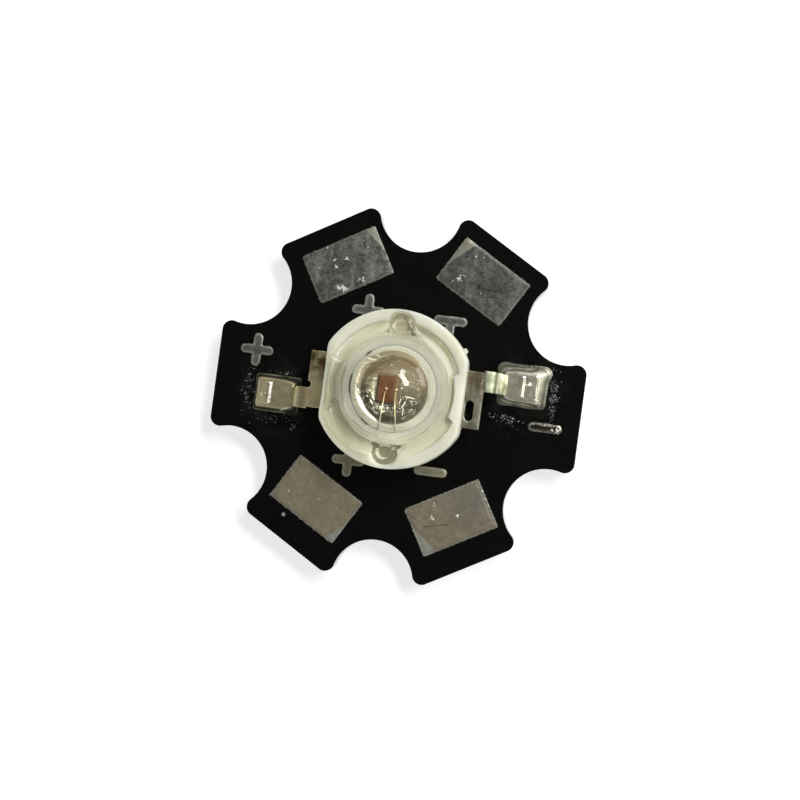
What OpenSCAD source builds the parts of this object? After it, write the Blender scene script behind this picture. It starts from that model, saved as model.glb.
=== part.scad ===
// Star-shaped metal-core board with one domed power LED emitter soldered in its middle.
// Millimetres. The origin is the middle of the board's underside, +Z is up and +X points at the minus tab.

/* [Board] */
// Width across two opposite tab flats
across_flats = 19; // [18.8:0.1:21]
// Diameter of the circle through the middles of the screw notches
notch_circle_d = 19.2; // [19:0.1:21]
// Diameter of a half-round screw notch
notch_d = 4.26; // [3.6:0.02:4.6]
// Rounding of the tab corners
tab_corner_r = 0.5; // [0.2:0.05:0.7]
// Distance of the printed pattern and the emitter from the plate's middle along X
pattern_x = 0.11; // [-0.2:0.01:0.2]
// Distance of the printed pattern and the emitter from the plate's middle along Y
pattern_y = 0.28; // [-0.3:0.01:0.3]
// Thickness of the aluminium plate
core_t = 1.4; // [0.8:0.1:3]
// Thickness of the insulating film on the plate
dielectric_t = 0.1; // [0.06:0.01:0.2]
// Thickness of the etched copper
copper_t = 0.07; // [0.035:0.005:0.14]
// Thickness of the mask where it covers copper
mask_t = 0.03; // [0.02:0.005:0.06]
// Bare margin between the board's edge and the copper
copper_margin = 0.4; // [0.2:0.05:0.5]
// Gap between two copper fields
copper_gap = 0.35; // [0.2:0.05:0.5]

/* [Wire pads] */
// Length of a wire pad along its tab's flat
pad_length = 4.12; // [3:0.02:4.2]
// Gap between a wire pad and the reach of the mark inside it
pad_gap = 0.41; // [0.2:0.01:0.6]
// Bare strip between a tab's flat and its wire pad
pad_edge = 1.13; // [0.8:0.01:1.4]
// Rounding of the wire pads' and lead pads' corners
pad_corner_r = 0.14; // [0.05:0.01:0.3]
// Bare ring around the slug's foot in the mask
thermal_margin = 0.1; // [0.05:0.01:0.2]
// Copper that the mask covers around that ring
thermal_lap = 0.1; // [0.05:0.01:0.2]
// Height of the tin above the mask
tin_rise = 0.02; // [0.01:0.005:0.05]

/* [Polarity marks] */
// Length of a plus or minus stroke
mark_length = 1.72; // [1.2:0.02:1.8]
// Width of a stroke
mark_width = 0.47; // [0.3:0.01:0.55]
// Distance from a side tab's flat to the middle of its mark
side_mark_edge = 1.85; // [1.5:0.05:2.2]
// Sideways place of the plus mark on its side tab
side_plus_y = 1.15; // [1.1:0.01:1.3]
// Sideways place of the minus mark on its side tab
side_minus_y = 0.9; // [0.6:0.01:1.3]
// Distance of the four inner marks from the Y axis
inner_mark_x = 2.15; // [1.6:0.05:2.4]
// Distance of the four inner marks from the X axis
inner_mark_y = 3.9; // [3.8:0.05:4]
// Length of the stem under the upper minus stroke
stem_length = 0.62; // [0.4:0.02:0.8]

/* [Heat slug] */
// Thickness of the paste film under the slug
paste_t = 0.09; // [0.05:0.01:0.2]
// Diameter of the slug's foot
slug_foot_d = 5.8; // [5:0.1:6]
// Height of the slug's foot
slug_foot_h = 0.84; // [0.6:0.02:1]
// Diameter of the slug's shoulder
slug_shoulder_d = 4.6; // [3.6:0.1:5]
// Height of the slug's shoulder
slug_shoulder_h = 0.5; // [0.3:0.05:0.7]
// Diameter of the boss that holds the reflector cup
slug_boss_d = 2.9; // [2.6:0.05:3.1]
// Height of the boss above the shoulder
slug_boss_h = 1; // [0.9:0.05:1.2]
// Diameter of the cup at its rim
cup_rim_d = 2.45; // [2.2:0.05:2.5]
// Diameter of the cup's floor
cup_floor_d = 1.6; // [1.4:0.05:1.9]
// Depth of the cup
cup_depth = 0.5; // [0.35:0.05:0.6]

/* [Housing] */
// Diameter of the housing's rim
housing_d = 8; // [7.9:0.05:8.6]
// Diameter of the housing below its leads
housing_foot_d = 7.6; // [7:0.1:7.8]
// Width between the housing's two flats
housing_flats = 7.1; // [6.9:0.05:7.4]
// Clearance from the slug's underside up to the housing
housing_lift = 0.34; // [0.1:0.02:0.5]
// Bevel of the rim's outer edge
rim_bevel = 0.12; // [0.05:0.01:0.15]
// Height of the lens seat above the slug's top
seat_rise = 0.1; // [0.05:0.01:0.2]
// Height of the rim above the lens flange
rim_rise = 0.05; // [0.02:0.01:0.2]
// Ledge of the seat inside the mouth of the lens
dish_ledge = 0.06; // [0.04:0.01:0.1]
// Diameter of the small moulding nub on the rim
nub_d = 0.5; // [0.3:0.05:0.7]
// Direction of the nub around the housing
nub_angle = 36; // [30:1:45]
// Half-width of the window over the two bond posts
window_half = 0.5; // [0.44:0.02:0.6]

/* [Leads] */
// Distance over the tips of the two leads
lead_span = 14.5; // [14.2:0.1:15]
// Thickness of the lead sheet
lead_t = 0.3; // [0.2:0.02:0.34]
// Height of the leads' underside above the slug's underside
lead_height = 1.64; // [1.6:0.02:1.7]
// Width of the broad part of a lead
lead_broad_w = 2.9; // [2.6:0.05:3.2]
// Reach of the broad part beyond the housing's flat
lead_broad_reach = 0.9; // [0.8:0.05:1]
// Width of the narrow tail
tail_w = 1.07; // [0.9:0.01:1.2]
// Distance of the tails' middles from the X axis
tail_y = 1; // [0.95:0.01:1.05]
// Inner radius of the bends in a tail
bend_r = 0.2; // [0.1:0.02:0.24]
// Slope of a tail's leg
leg_angle = 80; // [70:1:85]
// Straight run between the broad part and the first bend
tail_run = 0.22; // [0.1:0.02:0.3]
// Width of the slot in the cathode lead
slot_w = 0.42; // [0.3:0.02:0.5]
// Length of the slot
slot_length = 1.02; // [0.8:0.02:1.1]
// Metal between the slot and the housing's flat
slot_inset = 0.1; // [0.06:0.01:0.2]
// Metal between the slot and the lead's side
slot_side = 0.38; // [0.3:0.01:0.5]
// Radius of the relief nick in the anode lead
nick_r = 0.17; // [0.1:0.01:0.2]
// Depth of the broad part inside the housing
lead_bury = 0.65; // [0.5:0.05:0.8]
// Width of the link between the broad part and its bond post
link_w = 1.4; // [1:0.05:1.6]
// Width of the strip that carries a bond post
post_w = 0.5; // [0.4:0.02:0.5]
// Plastic between the slug's boss and the posts
post_gap = 0.3; // [0.2:0.02:0.34]
// Angle between a post's end and the line of symmetry
post_end_angle = 4; // [3:0.5:5]

/* [Lead solder] */
// Length of a lead pad
lead_pad_length = 2.35; // [2.2:0.05:2.4]
// Width of a lead pad
lead_pad_width = 1.9; // [1.7:0.05:1.94]
// Solder in front of a lead's tip
solder_toe = 0.2; // [0.15:0.01:0.25]
// Solder film under and over a lead's foot
solder_film = 0.07; // [0.05:0.005:0.1]
// Solder on each side of a lead's foot
solder_side = 0.19; // [0.1:0.01:0.25]

/* [Lens] */
// Outer radius of the dome
dome_r = 2.8; // [2.7:0.02:2.86]
// Wall of the dome
lens_wall = 0.5; // [0.4:0.02:0.6]
// Height of the dome's middle above the seat
dome_rise = 0.2; // [0.1:0.02:0.3]
// Thickness of the flange
flange_t = 0.45; // [0.35:0.01:0.6]
// Diameter of the flange
flange_d = 6.66; // [6.5:0.02:6.8]
// Diameter of the flange where the housing's keys hold it
keyed_d = 5.94; // [5.86:0.02:6.1]
// Half-angle of each keyed stretch
key_half_angle = 21; // [15:1:25]
// Angle between a key's end and the flange
key_play_angle = 1; // [0.5:0.1:2]
// Width of an ear where it leaves the flange
ear_w = 2.08; // [1.8:0.02:2.2]
// Reach of the ears from the lens's middle
ear_reach = 3.8; // [3.7:0.02:3.82]
// Radius of an ear's tip
ear_tip_r = 0.66; // [0.6:0.02:0.7]
// Diameter of the fill hole in an ear
fill_hole_d = 0.64; // [0.4:0.02:0.7]
// Play around the lens in its recess
lens_play = 0.05; // [0.03:0.01:0.06]

/* [Chip] */
// Size of the chip along X
die_x = 0.62; // [0.5:0.02:0.66]
// Size of the chip along Y
die_y = 0.82; // [0.7:0.02:0.9]
// Distance of the chip's middle from the cup's middle along X
die_off = -0.23; // [-0.25:0.01:0.25]
// Thickness of the chip
die_t = 0.15; // [0.1:0.01:0.2]
// Thickness of the bond layer under the chip
attach_t = 0.03; // [0.02:0.005:0.05]
// Bond layer that shows around the chip
attach_margin = 0.05; // [0.02:0.01:0.08]
// Diameter of a bond wire
wire_d = 0.06; // [0.04:0.005:0.07]
// Height of a wire's loop above the cup's rim
wire_loop = 0.2; // [0.15:0.01:0.4]
// Radius of a wire's two bends
wire_bend_r = 0.25; // [0.15:0.01:0.3]
// Distance of the wires' chip ends from the middle between them
die_bond_x = 0.14; // [0.08:0.01:0.14]
// Distance of that middle from the chip's middle along X
die_bond_off = 0.1; // [0:0.01:0.14]
// Diameter of the ball on the chip
ball_d = 0.12; // [0.1:0.01:0.13]

/* [Hidden] */
$fn = 72;
// Overlap that joins or cuts cleanly
eps = 0.02;
// Amount by which a corner's round crosses the flat and the notch wall, so that it meets both cleanly
corner_bite = 0.005;

// Heights of the board's layers
dielectric_z = core_t;
copper_z = core_t + dielectric_t;
copper_top = copper_z + copper_t;
board_top = copper_top + mask_t;

// Places on the board
tab_r = across_flats / 2;
notch_r = notch_d / 2;
notch_x = notch_circle_d / 2 * cos(30);
notch_y = notch_circle_d / 2 * sin(30);
inner_mark_r = norm([inner_mark_x, inner_mark_y]);
pad_in_r = inner_mark_r + mark_length / 2 + pad_gap;
pad_width = tab_r - pad_edge - pad_in_r;
side_mark_x = tab_r - side_mark_edge;
thermal_open_r = slug_foot_d / 2 + thermal_margin;
thermal_copper_r = thermal_open_r + thermal_lap;

// Heights in the emitter
slug_z = copper_top + paste_t;
shoulder_z = slug_z + slug_foot_h;
boss_z = shoulder_z + slug_shoulder_h;
slug_top = boss_z + slug_boss_h;
cup_floor_z = slug_top - cup_depth;
housing_z = slug_z + housing_lift;
lead_z = slug_z + lead_height;
lead_top = lead_z + lead_t;
seat_z = slug_top + seat_rise;
flange_top = seat_z + flange_t;
rim_z = flange_top + rim_rise;
dome_z = seat_z + dome_rise;
die_z = cup_floor_z + attach_t;
die_top = die_z + die_t;

// Leads: the broad part, the two bends and the foot
flat_x = housing_flats / 2;
broad_x = flat_x + lead_broad_reach;
bend_x = broad_x + tail_run;
sheet_bend_r = bend_r + lead_t / 2;
bend_steps = 10;
foot_z = copper_top + solder_film;
foot_top = foot_z + lead_t;
bend_drop = sheet_bend_r * (1 - cos(leg_angle));
leg_length = (lead_z - foot_z - 2 * bend_drop) / sin(leg_angle);
foot_x = bend_x + 2 * sheet_bend_r * sin(leg_angle) + leg_length * cos(leg_angle);
tip_x = lead_span / 2;
post_in_r = slug_boss_d / 2 + post_gap;
post_out_r = post_in_r + post_w;
slot_x = flat_x + slot_inset + slot_w / 2;
slot_y = slot_side + slot_length / 2 - lead_broad_w / 2;

// Lead pads under the feet
lead_pad_x = tip_x + solder_toe - lead_pad_length / 2;

// Lens
cavity_r = dome_r - lens_wall;
mouth_r = sqrt(pow(cavity_r, 2) - pow(dome_rise, 2));
recess_r = flange_d / 2 + lens_play;
ear_tip_y = ear_reach - ear_tip_r;
dish_r = mouth_r - dish_ledge;
window_out = sqrt(pow(dish_r, 2) - pow(window_half, 2)) - eps;

// Bond wires
wire_top = slug_top + wire_loop;
post_bond_y = (post_in_r + window_out) / 2;
post_bond_x = (post_bond_y * sin(post_end_angle) + window_half) / 2;

// Rectangle with round corners
module rounded_sheet(size_x, size_y, r) {
  square([size_x - 2 * r, size_y], center = true);
  square([size_x, size_y - 2 * r], center = true);
  for (x = [-1, 1], y = [-1, 1])
    translate([x * (size_x / 2 - r), y * (size_y / 2 - r)])
      circle(r = r);
}

// Slice of a pie between two angles
module wedge(r, from, to) {
  steps = 6;
  angles = [for (i = [0:steps]) from + (to - from) * i / steps];
  polygon(concat([[0, 0]], [for (a = angles) r * [cos(a), sin(a)]]));
}

// Part of a flat ring between two angles
module ring_part(r_in, r_out, from, to) {
  intersection() {
    difference() {
      circle(r = r_out);
      circle(r = r_in);
    }
    wedge(2 * r_out, from, to);
  }
}

// Hexagon with a round notch, open outwards, in place of each corner
module notched_hexagon(margin) {
  difference() {
    rotate(30)
      circle(r = (tab_r - margin) / cos(30), $fn = 6);
    for (i = [0:5])
      rotate(30 + 60 * i)
        translate([notch_circle_d / 2, 0]) {
          circle(r = notch_r + margin);
          translate([0, tab_corner_r - notch_r])
            square([notch_circle_d, 2 * (notch_r - tab_corner_r)]);
        }
  }
}

// What is rounded off a tab's corner, between its flat and the notch wall
module tab_corner_waste() {
  middle_x = tab_r - tab_corner_r + corner_bite;
  middle_y = notch_y - sqrt(pow(notch_r + tab_corner_r - corner_bite, 2) - pow(middle_x - notch_x, 2));
  difference() {
    polygon([
      [middle_x, middle_y], [notch_circle_d, middle_y],
      [notch_circle_d, notch_y], [notch_x, notch_y]
    ]);
    translate([middle_x, middle_y])
      circle(r = tab_corner_r);
  }
}

// Moves what is printed or soldered on the board to its place on the plate
module on_pattern() {
  translate([pattern_x, pattern_y, 0])
    children();
}

// Outline of the board
module star_sheet() {
  difference() {
    notched_hexagon(0);
    for (i = [0:5], side = [0, 1])
      rotate(60 * i)
        mirror([0, side])
          tab_corner_waste();
  }
}

module star_plate(z, thickness) {
  translate([0, 0, z])
    linear_extrude(thickness)
      star_sheet();
}

module wire_pad_sheet(angle) {
  rotate(angle)
    translate([pad_in_r + pad_width / 2, 0])
      rounded_sheet(pad_width, pad_length, pad_corner_r);
}

module lead_pad_sheet(side) {
  translate([side * lead_pad_x, side * tail_y])
    rounded_sheet(lead_pad_length, lead_pad_width, pad_corner_r);
}

// Stroke with round ends
module stroke() {
  square([mark_length - mark_width, mark_width], center = true);
  for (end = [-1, 1])
    translate([end * (mark_length - mark_width) / 2, 0])
      circle(d = mark_width);
}

module plus_sheet() {
  stroke();
  rotate(90)
    stroke();
}

module stem_sheet() {
  translate([-mark_width / 2, -mark_width / 2 - stem_length])
    square([mark_width, stem_length + mark_width / 2]);
}

// Places of the marks
module at_side(side) {
  translate([side * side_mark_x, side < 0 ? side_plus_y : -side_minus_y])
    children();
}

module at_inner(side, row) {
  translate([side * inner_mark_x, row * inner_mark_y])
    children();
}

// Every opening in the mask
module mask_openings() {
  circle(r = thermal_open_r);
  for (angle = [60, 120, 240, 300])
    wire_pad_sheet(angle);
  for (side = [-1, 1])
    lead_pad_sheet(side);
  at_side(-1)
    plus_sheet();
  at_side(1)
    stroke();
  for (row = [-1, 1]) {
    at_inner(-1, row)
      plus_sheet();
    at_inner(1, row)
      stroke();
  }
  at_inner(1, 1)
    stem_sheet();
}

// Copper on one side of the board
module copper_sheet(side) {
  difference() {
    intersection() {
      notched_hexagon(copper_margin);
      on_pattern()
        translate([side > 0 ? copper_gap / 2 : -across_flats, -across_flats])
          square([across_flats - copper_gap / 2, 2 * across_flats]);
    }
    on_pattern()
      circle(r = thermal_copper_r + copper_gap);
  }
}

module copper(side) {
  color("peru")
    translate([0, 0, copper_z])
      linear_extrude(copper_t)
        copper_sheet(side);
}

// Layer of tin on the copper, through the mask
module tin() {
  color("dimgray")
    translate([pattern_x, pattern_y, copper_top])
      linear_extrude(mask_t + tin_rise)
        children();
}

module aluminium_core() {
  color("silver")
    star_plate(0, core_t);
}

module dielectric_layer() {
  color("gainsboro")
    star_plate(dielectric_z, dielectric_t);
}

module thermal_copper() {
  color("peru")
    translate([pattern_x, pattern_y, copper_z])
      cylinder(r = thermal_copper_r, h = copper_t);
}

module solder_mask() {
  color("black")
    difference() {
      star_plate(copper_z, copper_t + mask_t);
      copper(-1);
      copper(1);
      thermal_copper();
      translate([pattern_x, pattern_y, copper_top - eps])
        linear_extrude(mask_t + 2 * eps)
          mask_openings();
    }
}

module thermal_paste() {
  color("white")
    translate([0, 0, copper_top])
      cylinder(d = slug_foot_d, h = paste_t);
}

// Slug without its cup
module slug_blank() {
  translate([0, 0, slug_z])
    cylinder(d = slug_foot_d, h = slug_foot_h);
  translate([0, 0, shoulder_z - eps])
    cylinder(d = slug_shoulder_d, h = slug_shoulder_h + eps);
  translate([0, 0, boss_z - eps])
    cylinder(d = slug_boss_d, h = slug_boss_h + eps);
}

// Space inside the cup
module cup_space() {
  translate([0, 0, cup_floor_z])
    cylinder(d1 = cup_floor_d, d2 = cup_rim_d, h = cup_depth);
}

module heat_slug() {
  color("lightgray")
    difference() {
      slug_blank();
      cup_space();
    }
}

// Ear of the lens, grown by the play where it is a pocket
module ear_sheet(play) {
  root_y = ear_tip_y - ear_tip_r;
  polygon([
    [-ear_w / 2 - play, root_y - ear_tip_r], [ear_w / 2 + play, root_y - ear_tip_r],
    [ear_w / 2 + play, root_y], [ear_tip_r + play, ear_tip_y],
    [-ear_tip_r - play, ear_tip_y], [-ear_w / 2 - play, root_y]
  ]);
  translate([0, ear_tip_y])
    circle(r = ear_tip_r + play);
}

module both_ears(play) {
  for (turn = [0, 180])
    rotate(turn)
      ear_sheet(play);
}

// Flange with its ears and the two keyed stretches
module flange_sheet() {
  circle(d = keyed_d);
  difference() {
    circle(d = flange_d);
    for (turn = [0, 180])
      rotate(turn)
        wedge(flange_d, -key_half_angle, key_half_angle);
  }
  both_ears(0);
}

// Space inside the lens, filled with gel
module lens_space() {
  intersection() {
    translate([0, 0, dome_z])
      sphere(r = cavity_r);
    translate([0, 0, seat_z])
      cylinder(r = dome_r, h = 2 * dome_r);
  }
}

// Dish between the cup's rim and the mouth of the lens
module dish_space() {
  translate([0, 0, slug_top])
    cylinder(r1 = slug_boss_d / 2, r2 = dish_r, h = seat_rise);
}

// Window down to the two bond posts
module window_space() {
  translate([-window_half, -window_out, lead_top])
    cube([2 * window_half, window_out - post_in_r, seat_z - lead_top]);
}

// Outline of one half of the housing's wall, turned around the Z axis
module housing_profile() {
  polygon([
    [slug_foot_d / 2, housing_z], [housing_foot_d / 2, housing_z], [housing_foot_d / 2, lead_z],
    [housing_d / 2, lead_z], [housing_d / 2, rim_z - rim_bevel], [housing_d / 2 - rim_bevel, rim_z],
    [recess_r, rim_z], [recess_r, seat_z], [dish_r, seat_z], [slug_boss_d / 2, slug_top],
    [slug_boss_d / 2, boss_z], [slug_shoulder_d / 2, boss_z], [slug_shoulder_d / 2, shoulder_z],
    [slug_foot_d / 2, shoulder_z]
  ]);
}

module housing() {
  color("ivory")
    difference() {
      union() {
        rotate_extrude()
          housing_profile();
        for (turn = [0, 180])
          translate([0, 0, seat_z - eps])
            linear_extrude(rim_z - seat_z + eps)
              rotate(turn)
                ring_part(keyed_d / 2 + lens_play, recess_r + eps, key_play_angle - key_half_angle,
                          key_half_angle - key_play_angle);
        rotate(nub_angle)
          translate([housing_d / 2 - eps, 0, lead_z])
            cylinder(d = nub_d, h = lead_t);
      }
      for (turn = [0, 180])
        rotate(turn)
          translate([flat_x, -housing_d, 0])
            cube([housing_d, 2 * housing_d, 2 * rim_z]);
      translate([0, 0, seat_z])
        linear_extrude(rim_z)
          both_ears(lens_play);
      window_space();
      lead_blank(-1);
      lead_blank(1);
    }
}

// Flat part of a lead, drawn on the +X side: broad part, link and bond post
module lead_sheet() {
  translate([flat_x - lead_bury, -lead_broad_w / 2])
    square([lead_broad_reach + lead_bury, lead_broad_w]);
  translate([post_in_r + post_w / 4, -link_w / 2])
    square([flat_x - post_in_r, link_w]);
  ring_part(post_in_r, post_out_r, post_end_angle - 90, 0);
}

// Points along an arc
function arc(middle, r, from, to) =
  [for (i = [0:bend_steps]) let (a = from + (to - from) * i / bend_steps) middle + r * [cos(a), sin(a)]];

// Side view of a tail: straight run, bend, sloping leg, bend and foot
module tail_profile() {
  upper = [bend_x, lead_z - bend_r];
  lower = [foot_x, foot_top + bend_r];
  polygon(concat(
    [[flat_x, lead_top]],
    arc(upper, bend_r + lead_t, 90, 90 - leg_angle),
    arc(lower, bend_r, 270 - leg_angle, 270),
    [[tip_x, foot_top], [tip_x, foot_z]],
    arc(lower, bend_r + lead_t, 270, 270 - leg_angle),
    arc(upper, bend_r, 90 - leg_angle, 90),
    [[flat_x, lead_z]]
  ));
}

// Whole lead without its slot or nick; the two leads mirror in X and their tails lie on opposite sides
module lead_blank(side) {
  mirror([side < 0 ? 1 : 0, 0, 0]) {
    translate([0, 0, lead_z])
      linear_extrude(lead_t)
        lead_sheet();
    translate([0, side * tail_y + tail_w / 2, 0])
      rotate([90, 0, 0])
        linear_extrude(tail_w)
          tail_profile();
  }
}

module anode_lead() {
  color("tan")
    difference() {
      lead_blank(-1);
      translate([-broad_x, tail_w / 2 - tail_y + nick_r, lead_z - eps])
        cylinder(r = nick_r, h = lead_t + 2 * eps);
    }
}

module cathode_lead() {
  color("tan")
    difference() {
      lead_blank(1);
      translate([slot_x, slot_y, lead_z - eps])
        linear_extrude(lead_t + 2 * eps)
          rounded_sheet(slot_w, slot_length, slot_w / 2 - eps);
    }
}

// Solder mound that fills the pad's opening and covers the foot
module lead_solder(side) {
  mound_length = tip_x - foot_x + 2 * solder_film;
  mound_width = tail_w + 2 * solder_side;
  base_length = lead_pad_length - 2 * pad_corner_r;
  base_width = lead_pad_width - 2 * pad_corner_r;
  color("lightslategray")
    difference() {
      union() {
        translate([0, 0, copper_top])
          linear_extrude(mask_t)
            lead_pad_sheet(side);
        hull() {
          translate([side * lead_pad_x, side * tail_y, board_top - eps / 2])
            cube([base_length, base_width, eps], center = true);
          translate([side * (tip_x + foot_x) / 2, side * tail_y, foot_top + solder_film / 2])
            cube([mound_length, mound_width, eps], center = true);
        }
      }
      lead_blank(side);
    }
}

module die_attach() {
  color("gray")
    translate([die_off, 0, cup_floor_z + attach_t / 2])
      cube([die_x + 2 * attach_margin, die_y + 2 * attach_margin, attach_t], center = true);
}

module led_die() {
  color("saddlebrown")
    translate([die_off, 0, die_z + die_t / 2])
      cube([die_x, die_y, die_t], center = true);
}

// Quarter bend of wire in the XZ plane, from an upright leg to a level run
module wire_bend() {
  rotate([90, 0, 0])
    rotate_extrude(angle = 90)
      translate([wire_bend_r, 0])
        circle(d = wire_d, $fn = 24);
}

// Wire from the chip, over the cup's rim and down to a post
module bond_wire(side) {
  start = [die_off + die_bond_off + side * die_bond_x, 0];
  finish = [side * post_bond_x, -post_bond_y];
  run = norm(finish - start);
  heading = atan2(finish[1] - start[1], finish[0] - start[0]);
  bend_z = wire_top - wire_bend_r;
  color("gold")
    translate(start)
      rotate(heading) {
        translate([0, 0, die_top])
          cylinder(d = ball_d, h = wire_d);
        translate([0, 0, die_top])
          cylinder(d = wire_d, h = bend_z - die_top, $fn = 24);
        translate([wire_bend_r, 0, bend_z])
          mirror([1, 0, 0])
            wire_bend();
        translate([wire_bend_r, 0, wire_top])
          rotate([0, 90, 0])
            cylinder(d = wire_d, h = run - 2 * wire_bend_r, $fn = 24);
        translate([run - wire_bend_r, 0, bend_z])
          wire_bend();
        translate([run, 0, lead_top])
          cylinder(d = wire_d, h = bend_z - lead_top, $fn = 24);
      }
}

module silicone_fill() {
  color("white", 0.3)
    difference() {
      union() {
        cup_space();
        dish_space();
        lens_space();
        window_space();
      }
      die_attach();
      led_die();
      bond_wire(-1);
      bond_wire(1);
    }
}

module lens() {
  color("white", 0.4)
    difference() {
      union() {
        translate([0, 0, seat_z])
          linear_extrude(flange_t)
            flange_sheet();
        intersection() {
          translate([0, 0, dome_z])
            sphere(r = dome_r);
          translate([0, 0, dome_z])
            cylinder(r = 2 * dome_r, h = 2 * dome_r);
        }
      }
      translate([0, 0, dome_z])
        sphere(r = cavity_r);
      for (side = [-1, 1])
        translate([0, side * ear_tip_y, seat_z - eps])
          cylinder(d = fill_hole_d, h = flange_t + 2 * eps);
    }
}

aluminium_core();
dielectric_layer();
copper(-1);  // anode_copper
copper(1);  // cathode_copper
thermal_copper();
solder_mask();
tin() wire_pad_sheet(120);  // wire_pad_upper_left
tin() wire_pad_sheet(60);  // wire_pad_upper_right
tin() wire_pad_sheet(240);  // wire_pad_lower_left
tin() wire_pad_sheet(300);  // wire_pad_lower_right
tin() at_side(-1) plus_sheet();  // plus_mark_left
tin() at_inner(-1, 1) plus_sheet();  // plus_mark_upper
tin() at_inner(-1, -1) plus_sheet();  // plus_mark_lower
tin() at_side(1) stroke();  // minus_mark_right
tin() at_inner(1, 1) union() { stroke(); stem_sheet(); }  // minus_mark_upper
tin() at_inner(1, -1) stroke();  // minus_mark_lower
on_pattern() thermal_paste();
on_pattern() heat_slug();
on_pattern() housing();
on_pattern() anode_lead();
on_pattern() cathode_lead();
on_pattern() lead_solder(-1);  // anode_solder
on_pattern() lead_solder(1);  // cathode_solder
on_pattern() die_attach();
on_pattern() led_die();
on_pattern() bond_wire(-1);  // anode_bond_wire
on_pattern() bond_wire(1);  // cathode_bond_wire
on_pattern() silicone_fill();
on_pattern() lens();
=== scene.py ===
# %% [markdown]
# # Star-board power LED
# A power LED emitter sits on a star-shaped metal-core board. The measured solids come in as a fixed
# frame, and this lesson dresses them. Round or bent pieces are worked out as numpy surfaces in
# millimetres and put where the solids are. Flat, hidden layers keep their solids and only get a finish.
# The printed pattern and the emitter sit a little off the plate's middle, so every formula counts from
# the emitter's axis.

# %% Load the frame
import math
import bpy
import numpy as np
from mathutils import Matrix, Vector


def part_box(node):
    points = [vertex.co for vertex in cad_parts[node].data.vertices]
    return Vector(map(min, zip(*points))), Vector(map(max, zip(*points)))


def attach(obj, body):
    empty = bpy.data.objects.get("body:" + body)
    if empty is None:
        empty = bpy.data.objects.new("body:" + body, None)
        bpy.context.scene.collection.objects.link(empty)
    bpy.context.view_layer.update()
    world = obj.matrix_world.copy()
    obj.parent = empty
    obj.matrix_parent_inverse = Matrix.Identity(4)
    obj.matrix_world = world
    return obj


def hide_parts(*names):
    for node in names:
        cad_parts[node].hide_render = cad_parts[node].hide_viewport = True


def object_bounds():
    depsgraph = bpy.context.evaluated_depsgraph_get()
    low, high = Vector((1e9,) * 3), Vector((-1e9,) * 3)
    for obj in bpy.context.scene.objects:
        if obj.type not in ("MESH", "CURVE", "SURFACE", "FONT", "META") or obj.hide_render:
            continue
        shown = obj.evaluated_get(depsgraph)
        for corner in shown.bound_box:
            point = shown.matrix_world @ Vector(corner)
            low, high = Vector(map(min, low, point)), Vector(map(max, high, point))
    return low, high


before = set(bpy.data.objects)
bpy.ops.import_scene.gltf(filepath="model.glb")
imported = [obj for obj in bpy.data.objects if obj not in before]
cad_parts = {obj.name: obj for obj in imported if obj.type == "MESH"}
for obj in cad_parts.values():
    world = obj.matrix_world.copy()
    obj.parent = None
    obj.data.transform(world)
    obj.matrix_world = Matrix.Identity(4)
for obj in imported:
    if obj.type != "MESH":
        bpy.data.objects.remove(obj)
cad_low, cad_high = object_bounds()
MM = 0.001
slug_box = np.array(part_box("heat_slug")) / MM
AXIS = slug_box.mean(0) * (1, 1, 0)


def extent(solid):
    """Lowest and highest corner of a solid in millimetres, measured from the emitter's axis."""
    low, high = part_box(solid)
    return np.array(low) / MM - AXIS, np.array(high) / MM - AXIS


overall = np.round((np.array(cad_high) - cad_low) / MM, 2)
print("frame:", len(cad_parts), "solids, overall size in mm", overall)

# %% [markdown]
# ## Meshes from arrays
# A surface here is a grid of points: one parameter runs around the piece and the other along its profile.
# The grid's faces follow from its size alone, so the same few helpers serve every piece. Modelling by
# hand would be quicker for one piece, but these surfaces can be measured, changed and made again exactly.

# %% Grids and skins


def grid_faces(rows, columns, closed_rows=False):
    """Quads between neighbouring points of a grid whose columns run round and meet again."""
    i = np.arange(rows if closed_rows else rows - 1)[:, None]
    j = np.arange(columns)[None, :]
    after_i = (i + 1) % rows
    after_j = (j + 1) % columns
    corners = [i * columns + j, i * columns + after_j, after_i * columns + after_j, after_i * columns + j]
    return np.stack(np.broadcast_arrays(*corners), -1).reshape(-1, 4)


def pole_faces(ring_start, columns, pole, backwards):
    """Triangles from one ring of a grid to a single point."""
    j = np.arange(columns)
    pair = [ring_start + j, ring_start + (j + 1) % columns]
    if backwards:
        pair.reverse()
    return np.stack([*pair, np.full(columns, pole)], -1)


def skin(rings):
    """Closed skin over rings of points: quads between them, and a pole amid the first and the last."""
    rows, columns = rings.shape[:2]
    points = np.concatenate([rings.reshape(-1, 3), rings[:1].mean(1), rings[-1:].mean(1)])
    first, last = rows * columns, rows * columns + 1
    faces = grid_faces(rows, columns).tolist()
    faces += pole_faces(0, columns, first, True).tolist()
    faces += pole_faces((rows - 1) * columns, columns, last, False).tolist()
    return points, faces


def tube_skin(rings):
    """Skin over rings whose last one meets the first again, as on a hoop."""
    rows, columns = rings.shape[:2]
    return rings.reshape(-1, 3), grid_faces(rows, columns, closed_rows=True).tolist()


def joined(*shells):
    """Several skins as one list of points and one of faces."""
    starts = np.cumsum([0] + [len(points) for points, _ in shells])
    faces = [[corner + int(start) for corner in face]
             for start, (_, part) in zip(starts, shells) for face in part]
    return np.concatenate([points for points, _ in shells]), faces


print("a skin over 4 rings of 6 points has", len(skin(np.zeros((4, 6, 3)))[1]), "faces")

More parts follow.
